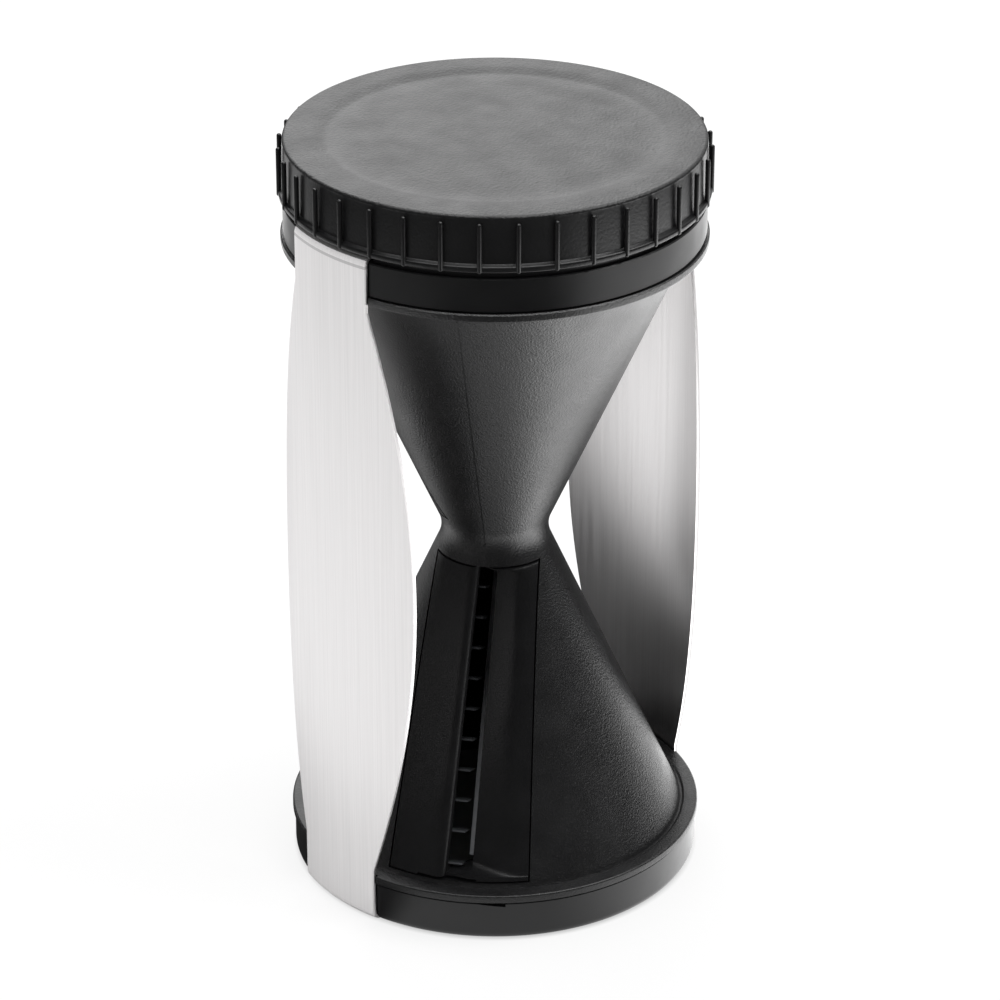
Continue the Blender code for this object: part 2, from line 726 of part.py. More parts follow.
def make_cap():
    cap = turn("guard_cap", cap_profile(), GUARD_STEPS, closed=False)
    top = CAP_TOP - RIB_TOP_DROP - RIB_RADIUS
    foot = GUARD_SEAT + CAP_BEAD_ROUND + RIB_RADIUS
    centre = RIM_RADIUS + RIB_PROUD - RIB_RADIUS
    ribs = bmesh.new()
    for i in range(RIB_COUNT):
        made = bmesh.ops.create_uvsphere(ribs, u_segments=8, v_segments=5, radius=RIB_RADIUS)
        angle = radians(RIB_FIRST_AZIMUTH + 360.0 * i / RIB_COUNT)
        for vertex in made["verts"]:
            vertex.co.z += top if vertex.co.z > 0 else foot
        place = Matrix.Rotation(angle, 4, "Z") @ Matrix.Translation((centre, 0, 0))
        bmesh.ops.transform(ribs, matrix=place, verts=made["verts"])
    mesh = bpy.data.meshes.new("guard_cap_ribs")
    ribs.to_mesh(mesh)
    ribs.free()
    combine(cap, add_object("guard_cap_ribs", mesh, CUTTERS), "UNION")
    return finish_part(cap, GREY_PLASTIC, roughness=0.5)


def spike_places():
    """Azimuths of the outer spikes."""
    return [360.0 * i / SPIKE_COUNT + 90.0 for i in range(SPIKE_COUNT)]


def make_food_holder():
    seat = GUARD_SEAT
    rim_outer = RIM_RADIUS - CAP_WALL - GAP
    rim_inner = rim_outer - HOLDER_RIM_WALL
    rim_top = PLATE_UNDER - GAP
    spigot_outer = MOUTH_RADIUS - GAP
    spigot_inner = spigot_outer - SPIGOT_WALL
    disc_top = seat + HOLDER_DISC
    boss_top = SPIKE_HEAD_UNDER - GAP
    profile = [
        (0.0, boss_top),
        (BOSS_RADIUS, boss_top),
        (BOSS_RADIUS, disc_top),
        (rim_inner, disc_top),
        (rim_inner, rim_top),
        (rim_outer, rim_top),
        (rim_outer, seat),
        (spigot_outer, seat),
        (spigot_outer, seat - SPIGOT_DEPTH + SPIGOT_CHAMFER),
        (spigot_outer - SPIGOT_CHAMFER, seat - SPIGOT_DEPTH),
        (spigot_inner, seat - SPIGOT_DEPTH),
        (spigot_inner, seat),
        (BOSS_RADIUS, seat),
        (BOSS_RADIUS - BOSS_DROP, seat - BOSS_DROP),
        (0.0, seat - BOSS_DROP),
    ]
    holder = turn("food_holder", profile, HOLDER_STEPS, closed=False)
    bores = bmesh.new()
    for azimuth, radius in [(0.0, 0.0)] + [(a, SPIKE_CIRCLE) for a in spike_places()]:
        made = bmesh.ops.create_cone(
            bores,
            cap_ends=True,
            segments=SPIKE_STEPS,
            radius1=SPIKE_RADIUS + GAP,
            radius2=SPIKE_RADIUS + GAP,
            depth=(CAP_TOP - seat) * 4,
        )
        turned = Matrix.Rotation(radians(azimuth), 4, "Z")
        place = turned @ Matrix.Translation((radius, 0, seat))
        bmesh.ops.transform(bores, matrix=place, verts=made["verts"])
    mesh = bpy.data.meshes.new("spike_bores")
    bores.to_mesh(mesh)
    bores.free()
    cut(holder, add_object("spike_bores", mesh, CUTTERS))
    return finish_part(holder, BLACK_PLASTIC, roughness=0.4)


def make_spike(name, azimuth, circle, length):
    head_top = SPIKE_HEAD_UNDER + SPIKE_HEAD
    tip = GUARD_SEAT - BOSS_DROP - length
    profile = [
        (0.0, head_top),
        (SPIKE_HEAD_RADIUS, head_top),
        (SPIKE_HEAD_RADIUS, SPIKE_HEAD_UNDER),
        (SPIKE_RADIUS, SPIKE_HEAD_UNDER),
        (SPIKE_RADIUS, tip + SPIKE_POINT),
        (0.0, tip),
    ]
    spike = turn(name, profile, SPIKE_STEPS, closed=False)
    spike.location = (circle * cos(radians(azimuth)), circle * sin(radians(azimuth)), 0.0)
    return finish_part(spike, BLADE_STEEL, metallic=1.0, roughness=0.25)


def make_slicer(kind, placement, strand, pitch, first, widths):
    """One cone's slicing insert: carrier, blade and comb."""
    make_carrier(f"{kind}_blade_carrier", placement, strand, widths)
    make_blade(f"{kind}_slicing_blade", placement, strand)
    make_comb(f"{kind}_julienne_comb", placement, strand, pitch, first)


def main():
    make_funnel_body()
    make_rim_ring("lower_rim_ring", upper=False)
    make_rim_ring("upper_rim_ring", upper=True)
    make_grip_strip("left_grip_strip", 180.0)
    make_grip_strip("right_grip_strip", 0.0)
    lower = facing(COARSE_AZIMUTH)
    upper = end_for_end() @ facing(-FINE_AZIMUTH)
    make_slicer("coarse", lower, COARSE_STRAND, COARSE_PITCH, COARSE_FIRST_TOOTH, COARSE_SLOT_WIDTHS)
    make_slicer("fine", upper, FINE_STRAND, FINE_PITCH, FINE_FIRST_TOOTH, FINE_SLOT_WIDTHS)
    make_cap()
    make_food_holder()
    make_spike("centre_spike", 0.0, 0.0, SPIKE_LENGTH + CENTRE_SPIKE_EXTRA)
    for number, azimuth in enumerate(spike_places(), start=1):
        make_spike(f"outer_spike_{number}", azimuth, SPIKE_CIRCLE, SPIKE_LENGTH)


main()
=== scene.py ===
"""Hourglass spiralizer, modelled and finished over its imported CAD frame.

Metres, +Z up, origin at the middle of the foot. Azimuths are measured from +X.
"""

from math import atan, cos, degrees, pi, radians, sin, sqrt

import bpy
from bpy.props import FloatProperty, FloatVectorProperty, IntProperty, PointerProperty
from bpy.types import Operator, Panel, PropertyGroup
from mathutils import Matrix, Vector


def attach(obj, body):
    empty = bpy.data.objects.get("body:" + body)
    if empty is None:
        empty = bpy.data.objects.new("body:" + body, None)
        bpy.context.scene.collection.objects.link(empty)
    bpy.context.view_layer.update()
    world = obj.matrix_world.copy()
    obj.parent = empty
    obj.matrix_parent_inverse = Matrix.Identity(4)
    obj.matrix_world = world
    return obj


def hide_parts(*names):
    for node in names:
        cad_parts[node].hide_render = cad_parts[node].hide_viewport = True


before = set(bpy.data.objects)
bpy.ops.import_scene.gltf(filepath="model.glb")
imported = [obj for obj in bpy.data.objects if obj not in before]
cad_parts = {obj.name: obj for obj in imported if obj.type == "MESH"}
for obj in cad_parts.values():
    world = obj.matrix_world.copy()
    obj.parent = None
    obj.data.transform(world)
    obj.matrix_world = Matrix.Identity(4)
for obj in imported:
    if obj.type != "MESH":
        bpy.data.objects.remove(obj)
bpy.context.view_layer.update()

bl_info = {
    "name": "Spiralizer",
    "version": (1, 0, 0),
    "blender": (4, 5, 0),
    "location": "3D View > Sidebar > Spiralizer",
    "description": "Models a two-ended funnel spiralizer piece by piece, with its finishes and studio",
    "category": "Add Mesh",
}

MM = 0.001
GAP = 0.3 * MM  # play between fitted pieces
MERGE = 0.002 * MM  # corners this near are one
FRONT_AZIMUTH = 270.0

# Funnels
CONE_FOOT_INSET = 2.7 * MM
WAIST_FILLET = 6.0 * MM
MOUTH_WALL = 2.1 * MM
FLANGE_THICKNESS = 1.4 * MM
FLANGE_OVERHANG = 0.4 * MM
FLANGE_EDGE = 0.4 * MM
FOOT_GROOVE_WIDTH = 0.9 * MM
FOOT_GROOVE_DEPTH = 0.22 * MM
FOOT_GROOVE_FLAT = (0.25, 0.6)

# Rim rings
RING_WALL = 2.3 * MM
RING_END_THICKNESS = 2.4 * MM
RING_CORNER = 1.4 * MM
RING_EDGE = 0.2 * MM
RING_REBATE_DEPTH = 0.8 * MM
RING_REBATE_HEIGHT = 1.2 * MM
RING_SEAM = 0.14 * MM
SEAM_NOTCH_DEPTH = 0.7 * MM
SEAM_NOTCH_HEIGHT = 0.7 * MM
SEAM_NOTCH_START = 0.1
BASE_NOTCH_AZIMUTHS = (223.5, 233.4)
TOP_NOTCH_AZIMUTHS = (284.5, 318.0)

# Grip strips
STRIP_PROUD = 0.65 * MM
STRIP_STRAIGHT_END = 9.5 * MM
STRIP_BEND = 1.6 * MM
STRIP_HOOK = 4.0 * MM
STRIP_INSET = 0.1 * MM
STRIP_EDGE = 0.09 * MM
STRIP_SWEEP = radians(70)

# Blade carriers: side offsets are positive to the blade's side of the slot
CARRIER_FOOT_RISE = 0.7 * MM
CARRIER_WAIST_OFFSET = 3.4 * MM
CARRIER_WAIST_HALF_WIDTH = 8.3 * MM
CARRIER_FOOT_HALF_WIDTH = 11.5 * MM
CARRIER_GAP = 0.25 * MM
CARRIER_WALL = 2.4 * MM
CARRIER_BACK = 3.0 * MM
CARRIER_LIP = 0.15 * MM
CARRIER_FOOT_PLATE = 0.6 * MM
CARRIER_EDGE = 0.2 * MM
RIDGE_HEIGHT = 0.7 * MM
RIDGE_ROUND = 1.7 * MM
RIDGE_FADE = 9.0 * MM
SCOOP_ROUND = 1.0 * MM
SCOOP_BLEND = 1.2 * MM
FOOT_POCKET_SIDES = (-6.6 * MM, 3.3 * MM)
FOOT_POCKET_DEPTH = 1.0 * MM
COARSE_SLOT_WIDTHS = (1.5 * MM, 2.7 * MM)
FINE_SLOT_WIDTHS = (0.7 * MM, 1.8 * MM)

# Blades and combs
BLADE_EDGE_OFFSET = 0.9 * MM
BLADE_WIDTH = 4.8 * MM
BLADE_THICKNESS = 0.6 * MM
BLADE_BEVEL_SHOWN = 1.08 * MM
BLADE_LIFT = radians(20.0)
COMB_SPINE_WIDTH = 2.4 * MM
COMB_SPINE_OFFSET = -2.2 * MM
COMB_THICKNESS = 0.4 * MM

# Guard: the cap, its ribs, the holder and the spikes
CAP_WALL = 1.6 * MM
CAP_PLATE = 1.8 * MM
CAP_EDGE = 0.6 * MM
CAP_DRAFT = 0.1 * MM
CAP_DISH_INSET = 5.8 * MM
CAP_CREASE = 1.7 * MM
CAP_DISH_DEPTH = 0.4 * MM
CAP_CROWN = 0.4 * MM
CAP_BEAD = 0.7 * MM
CAP_BEAD_HEIGHT = 1.1 * MM
CAP_BEAD_ROUND = 0.42 * MM
CAP_BEAD_DROP = 0.35 * MM
CAP_BEAD_INNER = 0.2 * MM
RIB_RADIUS = 0.4 * MM
RIB_PROUD = 0.9 * MM
RIB_TOP_DROP = 0.95 * MM
RIB_HANG = 0.45 * MM
RIB_FIRST_AZIMUTH = 226.5
HOLDER_DISC = 2.5 * MM
HOLDER_RIM_WALL = 2.2 * MM
HOLDER_EDGE = 0.15 * MM
SPIGOT_DEPTH = 3.5 * MM
SPIGOT_WALL = 1.6 * MM
SPIGOT_CHAMFER = 0.6 * MM
BOSS_RADIUS = 12.5 * MM
BOSS_DROP = 1.5 * MM
SPIKE_RADIUS = 1.1 * MM
SPIKE_HEAD_RADIUS = 2.2 * MM
SPIKE_HEAD = 1.9 * MM
SPIKE_HEAD_EDGE = 0.2 * MM
CENTRE_SPIKE_EXTRA = 2.0 * MM
SPIKE_POINT = 3.5 * MM
SPIKE_POINT_SHAPE = ((0.97, 0.94), (0.06, 0.03))
SPIKE_CIRCLE = 8.5 * MM

# Facets round each shape, steps in degrees, and how sharp an edge is smoothed or broken
TURN_STEPS = 192
CAP_STEPS = 216
SPIKE_STEPS = 40
BEND_STEPS = 8
EDGE_STEPS = 4
BEAD_STEPS = 6
HEAD_STEPS = 3
STRIP_STEPS = 96
BULGE_STEPS = 48
WAIST_STEPS = 12
NOTCH_STEPS = 12
CARRIER_ROWS = 24
LEFT_COLUMNS = 14
LEFT_COLUMNS_DRAW = 0.85
RIGHT_COLUMNS = 18
RIDGE_STEP = 12
SCOOP_STEP = 15
CROWN_STEPS = 10
CREASE_STEPS = 8
RIB_SEGMENTS = 20
RIB_RINGS = 12
SMOOTH_ANGLE = radians(22)
SHARP_ANGLE = radians(50)

# Finishes: tones as shares of the colour, gloss as roughness from and to, and the sizes of the
# patterns. Most of a noise's values lie in the band
BODY_MOULD = {"grain": 0.3 * MM, "depth": 0.018 * MM, "gloss": (0.30, 0.38), "shine": 0.27}
HALVES_MOULD = {"grain": 0.3 * MM, "depth": 0.045 * MM, "gloss": (0.32, 0.40), "shine": 0.75, "halves": True}
CAP_MOULD = {"grain": 0.5 * MM, "depth": 0.07 * MM, "gloss": (0.42, 0.50), "shine": 0.5, "smooth_skirt": True}
NOISE_BAND = (0.3, 0.7)
ABS_IOR = 1.53
FINE_GRAIN = 1.3
FLOW_CLOUD = 5 * MM
FLOW_TONES = (0.7, 1.9)
POLISH_EDGE = 0.3 * MM
POLISHED_GRAIN = 0.25
POLISHED_ROUGHNESS = 0.3
PARTING_AZIMUTH = radians(219.5)
PARTING_BAND = (-0.12 * MM, 0.12 * MM)
PARTING_STEP = 0.9
LOWER_HALF_SHINE = 0.42
SHINIER_FROM = (-4 * MM, 2 * MM)
STREAK_DEPTH = 0.004 * MM
STONED_CLOUD = 7 * MM
STONED_TONES = (0.9, 1.1)
STONED_GLOSS = (0.30, 0.40)
STONED_SHINE = 0.38
BRUSHED_DEPTH = 0.006 * MM
BRUSHED_TONES = (0.86, 1.08)
BRUSHED_SPREAD = 0.6
MILL_GLOSS = (0.29, 0.39)
BELT_ROUGHER = 0.1
BELT_METALLIC = 0.2
# Painted shade on the strips: the half-width and share of the line below the upper bend, the share on the
# right strip's outer face, and the tone that they darken to
BEND_LINE_HALF = 0.25 * MM
BEND_SHADE_SHARE = 0.5
RIGHT_SHADE_SHARE = 0.45
PAINTED_SHADE_TONE = 0.35
GROUND_TONES = (0.92, 1.08)
GROUND_GLOSS = (0.34, 0.46)
DULL_ENDS_FROM = (22 * MM, 52 * MM)
DULL_ENDS_METALLIC = 0.35

# Camera, fitted to the photograph
CAMERA_AZIMUTH = radians(230.5)
CAMERA_ELEVATION = 0.4606
CAMERA_DISTANCE = 0.7459926
CAMERA_AIM_HEIGHT = 65 * MM
CAMERA_LENS = 164.92
CAMERA_SHIFT = (0.00494, -0.01024)

# The paper: the share of light that it bounces and the share it shows shaded, its own glow,
# where the object's shade ends on it, and its far end in mm
PAPER_BOUNCE = 0.88
PAPER_SHADING = 0.2
PAPER_GLOW = 0.8
PAPER_SHADE_EDGE = (30 * MM, 34 * MM)
PAPER_END = (3000, 3001)

# Zones of the paper painted dark or made to glow, which only glossy surfaces see, as painted
# reflections of shade and light: azimuth, half-angles where the zone ends and is full in degrees,
# the distances where it starts, is full, fades and ends in mm, and its strength
DARK_PAPER = (
    (236, 46, 28, 60, 110, *PAPER_END, 0.95),
    (165, 55, 40, 225, 250, *PAPER_END, 0.95),
    (135, 70, 58, 0, 1, 55, 82, 0.95),
    (80, 52, 35, 0, 1, 52, 88, 0.97),
    (66, 32, 20, 62, 80, 200, 240, 0.97),
    (320, 180, 120, 340, 430, *PAPER_END, 0.9),
)
LIT_PAPER = (
    (335, 90, 0, 0, 1, 255, 330, 2.2),
    (38, 50, 22, 215, 235, *PAPER_END, 2.0),
)

# Glossy surfaces see the room lit round these directions, and dim elsewhere: azimuth,
# elevation, the half-angles where the light ends and is full, and its strength. Matt ones
# see it evenly
ROOM_LIGHTS = ((38, 30, 46, 20, 1.0), (0, 90, 34, 20, 3.5))
ROOM_DIM = 0.07
ROOM_BOUNCE = 0.85

# Soft lamps: azimuth and elevation in degrees, distance and size in metres, and watts
SOFTBOXES = {"back_softbox": (64, 38, 0.5, 0.4, 0.95), "right_softbox": (320, 55, 1.2, 0.6, 5.0)}


def length_size(name, default, text):
    """A length in a size panel."""
    return FloatProperty(name=name, default=default, min=0.0, unit="LENGTH", precision=5, description=text)


def azimuth_size(name, default, text):
    """An azimuth in a size panel."""
    return FloatProperty(name=name, default=default, subtype="ANGLE", description=text)


class SpiralizerSizes(PropertyGroup):
    """Sizes that a user would change."""

    body_height: length_size("Body height", 118.4 * MM, "Height over both rim rings, without the guard")
    rim_radius: length_size("Rim radius", 33.6 * MM, "Outer radius of the rim rings")
    waist_radius: length_size("Waist radius", 8.2 * MM, "Radius where the straight cones would meet")
    funnel_wall: length_size("Funnel wall", 2.2 * MM, "Thickness of the funnels")
    ring_height: length_size("Ring height", 6.7 * MM, "Height of a rim ring")
    strip_thickness: length_size("Strip thickness", 0.6 * MM, "Thickness of the grip strips' sheet")
    strip_end_width: length_size("Strip end width", 17.6 * MM, "Width of a grip strip over the rings")
    strip_middle_width: length_size("Strip middle width", 32.6 * MM, "Width of a grip strip at the waist")
    coarse_strand: length_size("Coarse strand", 3.5 * MM, "Thickness of the strands cut by the lower blade")
    fine_strand: length_size("Fine strand", 2.0 * MM, "Thickness of the strands cut by the upper blade")
    cap_height: length_size("Cap height", 8.7 * MM, "Height of the guard's cap")
    spike_length: length_size("Spike length", 13.5 * MM, "Length of the outer spikes below the holder")
    rib_count: IntProperty(name="Ribs", default=36, min=3, description="Number of grip ribs round the cap")
    spike_count: IntProperty(name="Outer spikes", default=5, min=1, description="Spikes round the centre one")
    coarse_azimuth: azimuth_size("Coarse slot", radians(218.5), "Azimuth of the lower slot")
    fine_azimuth: azimuth_size("Fine slot", radians(118.5), "Azimuth of the upper slot")


def linear(code):
    """An sRGB hex colour as linear red, green and blue."""
    channels = [int(code[i : i + 2], 16) / 255 for i in (0, 2, 4)]
    return tuple(c / 12.92 if c <= 0.04045 else ((c + 0.055) / 1.055) ** 2.4 for c in channels)


def finish_colour(name, code, description):
    """A colour in the finishes panel."""
    return FloatVectorProperty(
        name=name, default=linear(code), size=3, subtype="COLOR", min=0.0, max=1.0, description=description
    )


class SpiralizerFinishes(PropertyGroup):
    """Colours that a user would change."""

    body: finish_colour("Body plastic", "121213", "Moulded black of the funnels and inserts")
    ring: finish_colour("Ring plastic", "111112", "Moulded black of the rim rings")
    cap: finish_colour("Cap plastic", "111112", "Moulded black of the guard's cap")
    strip: finish_colour("Brushed strip", "f6f4f4", "Steel of the grip strips")
    blade: finish_colour("Blade steel", "b4b6b9", "Steel of the blades and spikes")
    # The combs' steel colour is set far darker than bare steel: painted shade for the dim slot they sit in.
    comb: finish_colour("Comb steel", "505255", "Duller stamped steel of the julienne combs")
    backdrop: finish_colour("Backdrop", "ffffff", "Floor and background of the studio")


def sizes():
    return bpy.context.scene.spiralizer_sizes


def finishes():
    return bpy.context.scene.spiralizer_finishes


# Sizes worked out from the ones above


def middle():
    return sizes().body_height / 2


def flange_under():
    return sizes().ring_height + GAP


def flange_face():
    return flange_under() + FLANGE_THICKNESS


def flange_radius():
    return sizes().rim_radius + FLANGE_OVERHANG


def cone_foot_radius():
    return sizes().rim_radius - CONE_FOOT_INSET


def cone_slope():
    return (cone_foot_radius() - sizes().waist_radius) / (middle() - flange_face())


def wall_out():
    return sizes().funnel_wall / cos(atan(cone_slope()))


def mouth_outer():
    return sizes().rim_radius - RING_WALL - GAP


def mouth_radius():
    return mouth_outer() - MOUTH_WALL


def carrier_bottom():
    return flange_face() + CARRIER_FOOT_RISE


def carrier_top():
    return middle() - CARRIER_WAIST_OFFSET - GAP


def slot_bottom():
    return carrier_bottom() + CARRIER_FOOT_PLATE


def slot_top():
    return carrier_top() - CARRIER_LIP


def plastic_edge():
    return BLADE_EDGE_OFFSET + BLADE_BEVEL_SHOWN


def strip_outer():
    return sizes().rim_radius + STRIP_PROUD


def strip_inner():
    return strip_outer() - sizes().strip_thickness


def hook_radius():
    return strip_outer() - STRIP_HOOK


def guard_seat():
    return sizes().body_height + GAP


def cap_top():
    return guard_seat() + sizes().cap_height


def plate_under():
    return cap_top() - CAP_DISH_DEPTH - CAP_PLATE


def spike_head_under():
    return plate_under() - GAP - SPIKE_HEAD


def cone_radius(z):
    """Outer radius of the cones at a height, as straight lines that meet at the waist."""
    return sizes().waist_radius + cone_slope() * abs(z - middle())


def bore_radius(z):
    return cone_radius(z) - wall_out()


def along_carrier(z, foot, waist):
    """A carrier's size at a height, between its sizes at the foot and the waist."""
    return foot + (waist - foot) * (z - carrier_bottom()) / (carrier_top() - carrier_bottom())


def carrier_half_width(z):
    return along_carrier(z, CARRIER_FOOT_HALF_WIDTH, CARRIER_WAIST_HALF_WIDTH)


def arc(centre, radius, start, end, steps=BEND_STEPS):
    """Points of a circular arc in a profile, angles in degrees."""
    angles = [radians(start + (end - start) * i / steps) for i in range(steps + 1)]
    return [(centre[0] + radius * cos(a), centre[1] + radius * sin(a)) for a in angles]


def mirrored(profile):
    """The same profile points, turned over end for end about the middle of the height."""
    return [(r, sizes().body_height - z) for r, z in reversed(profile)]


def facing(azimuth):
    """Turns what is laid out in front view, seen along +Y, so that it faces this azimuth."""
    return Matrix.Rotation(azimuth - radians(FRONT_AZIMUTH), 4, "Z")


def end_for_end():
    """Half a turn about the strips' axis, which carries the lower half onto the upper half."""
    return Matrix.Translation((0, 0, sizes().body_height)) @ Matrix.Rotation(pi, 4, "X")


# Modelling steps


def add_corner(point):
    """Add one loose corner to the mesh being edited, by drawing a small plane together."""
    bpy.ops.mesh.primitive_plane_add(size=MM)
    bpy.ops.mesh.merge(type="CENTER")
    bpy.ops.transform.translate(value=point)


def extrude_line(points, closed):
    """Extrude a corner from point to point, back to its start where the line is closed."""
    points = [Vector(p) for p in points]
    if closed:
        points.append(points[0])
    add_corner(points[0])
    for here, there in zip(points, points[1:]):
        bpy.ops.mesh.extrude_vertices_move(TRANSFORM_OT_translate={"value": there - here})


def start_piece(name):
    """Add a new mesh object, empty and in edit mode, with nothing else selected."""
    bpy.ops.object.select_all(action="DESELECT")
    bpy.ops.mesh.primitive_plane_add(size=MM)
    piece = bpy.context.object
    piece.name = name
    piece.data.name = name
    bpy.ops.object.mode_set(mode="EDIT")
    bpy.ops.mesh.delete(type="VERT")
    return piece


def merge_doubles():
    bpy.ops.mesh.select_all(action="SELECT")
    bpy.ops.mesh.remove_doubles(threshold=MERGE)


def close_up():
    """Merge doubles, point the faces outwards and leave edit mode."""
    merge_doubles()
    bpy.ops.mesh.normals_make_consistent(inside=False)
    bpy.ops.object.mode_set(mode="OBJECT")


def turn(name, profile, steps=TURN_STEPS, closed=True, start=0.0, sweep=2 * pi):
    """A turned shape: its section is drawn beside the axis and spun round it."""
    piece = start_piece(name)
    here = Matrix.Rotation(start, 4, "Z")
    extrude_line([here @ Vector((r, 0, z)) for r, z in profile], closed)
    merge_doubles()
    if sweep < 2 * pi:
        bpy.ops.mesh.edge_face_add()
    bpy.ops.mesh.spin(steps=steps, angle=-sweep, center=(0, 0, 0), axis=(0, 0, 1))
    close_up()
    return piece


def prism(name, outline, depth):
    """A flat outline, drawn in place and extruded by a vector."""
    piece = start_piece(name)
    extrude_line(outline, closed=True)
    merge_doubles()
    bpy.ops.mesh.edge_face_add()
    bpy.ops.mesh.extrude_region_move(TRANSFORM_OT_translate={"value": depth})
    close_up()
    return piece


def loft(name, loops):
    """A row of closed outlines, bridged from each to the next and capped at both ends."""
    piece = start_piece(name)
    for loop in loops:
        extrude_line(loop, closed=True)
    merge_doubles()
    bpy.ops.mesh.bridge_edge_loops()
    bpy.ops.mesh.select_all(action="SELECT")
    bpy.ops.mesh.fill_holes(sides=0)
    close_up()
    return piece


def select_corners(piece, wanted):
    """Select the corners whose place passes a test, in edit mode."""
    bpy.ops.object.mode_set(mode="EDIT")
    bpy.ops.mesh.select_mode(type="VERT")
    bpy.ops.mesh.select_all(action="DESELECT")
    bpy.ops.object.mode_set(mode="OBJECT")
    for corner in piece.data.vertices:
        corner.select = wanted(corner.co)
    bpy.ops.object.mode_set(mode="EDIT")


def activate(piece):
    bpy.ops.object.select_all(action="DESELECT")
    piece.select_set(True)
    bpy.context.view_layer.objects.active = piece


def put_in_mesh():
    """Move the active object's place into its mesh."""
    bpy.ops.object.transform_apply(location=True, rotation=True, scale=True)


def apply_modifier(piece, kind, **settings):
    activate(piece)
    modifier = piece.modifiers.new(kind.title(), kind)
    for setting, value in settings.items():
        setattr(modifier, setting, value)
    bpy.ops.object.modifier_apply(modifier=modifier.name)


def combine(piece, tool, operation="DIFFERENCE"):
    """Cut, join or keep what a tool covers, and throw the tool away."""
    apply_modifier(piece, "BOOLEAN", object=tool, operation=operation, solver="EXACT")
    bpy.data.objects.remove(tool, do_unlink=True)


def round_edges(piece, width, segments=1, angle=SHARP_ANGLE):
    """Break the sharp edges, as a mould or a deburring wheel leaves them."""
    limits = {"limit_method": "ANGLE", "angle_limit": angle, "use_clamp_overlap": True}
    apply_modifier(piece, "BEVEL", width=width, segments=segments, harden_normals=False, **limits)


def finish_piece(piece, material, slot, body, *nodes, angle=SMOOTH_ANGLE):
    """Smooth a piece, give it its finish, and let it ride on its body for the nodes it stands for."""
    activate(piece)
    bpy.ops.object.shade_smooth_by_angle(angle=angle)
    piece.data.materials.clear()
    piece.data.materials.append(material)
    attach(piece, body)
    if nodes:
        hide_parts(*nodes)


# Materials


def add_node(tree, kind, sockets=(), **settings):
    """Add a node with its settings, and fill its sockets with values or links, in order or by name."""
    node = tree.nodes.new("ShaderNode" + kind)
    for setting, value in settings.items():
        setattr(node, setting, value)
    if isinstance(sockets, dict):
        filled = [(node.inputs[name], value) for name, value in sockets.items()]
    else:
        filled = zip([socket for socket in node.inputs if socket.enabled], sockets)
    for socket, value in filled:
        if isinstance(value, bpy.types.Node):
            value = next(output for output in value.outputs if output.enabled)
        if isinstance(value, bpy.types.NodeSocket):
            tree.links.new(value, socket)
        else:
            socket.default_value = value
    return node


def start_material(name):
    """An empty material, and the piece's own coordinates in metres."""
    material = bpy.data.materials.new(name)
    material.use_nodes = True
    tree = material.node_tree
    tree.nodes.clear()
    return material, tree, add_node(tree, "TexCoord").outputs["Object"]


def streaks(tree, place, sideways, upright, detail):
    """A noise drawn out to these lengths sideways and upright."""
    scale = (1 / sideways, 1 / sideways, 1 / upright)
    drawn = add_node(tree, "Mapping", {"Vector": place, "Scale": scale})
    return add_node(tree, "TexNoise", {"Vector": drawn, "Scale": 1.0, "Detail": detail})


def surface(tree, tone, roughness, relief, depth, **sockets):
    """End a material: the shader with a pattern's tone, roughness and relief, and its other sockets."""
    bump = add_node(tree, "Bump", {"Height": relief, "Distance": depth})
    main = {"Base Color": tone, "Roughness": roughness, "Normal": bump}
    others = {name.replace("_", " "): value for name, value in sockets.items()}
    shader = add_node(tree, "BsdfPrincipled", {**main, **others})
    add_node(tree, "OutputMaterial", {"Surface": shader})
    return shader


def colour4(colour, factor=1.0):
    return (*[min(1.0, c * factor) for c in colour], 1.0)


def shades(colour, factors):
    return [colour4(colour, factor) for factor in factors]


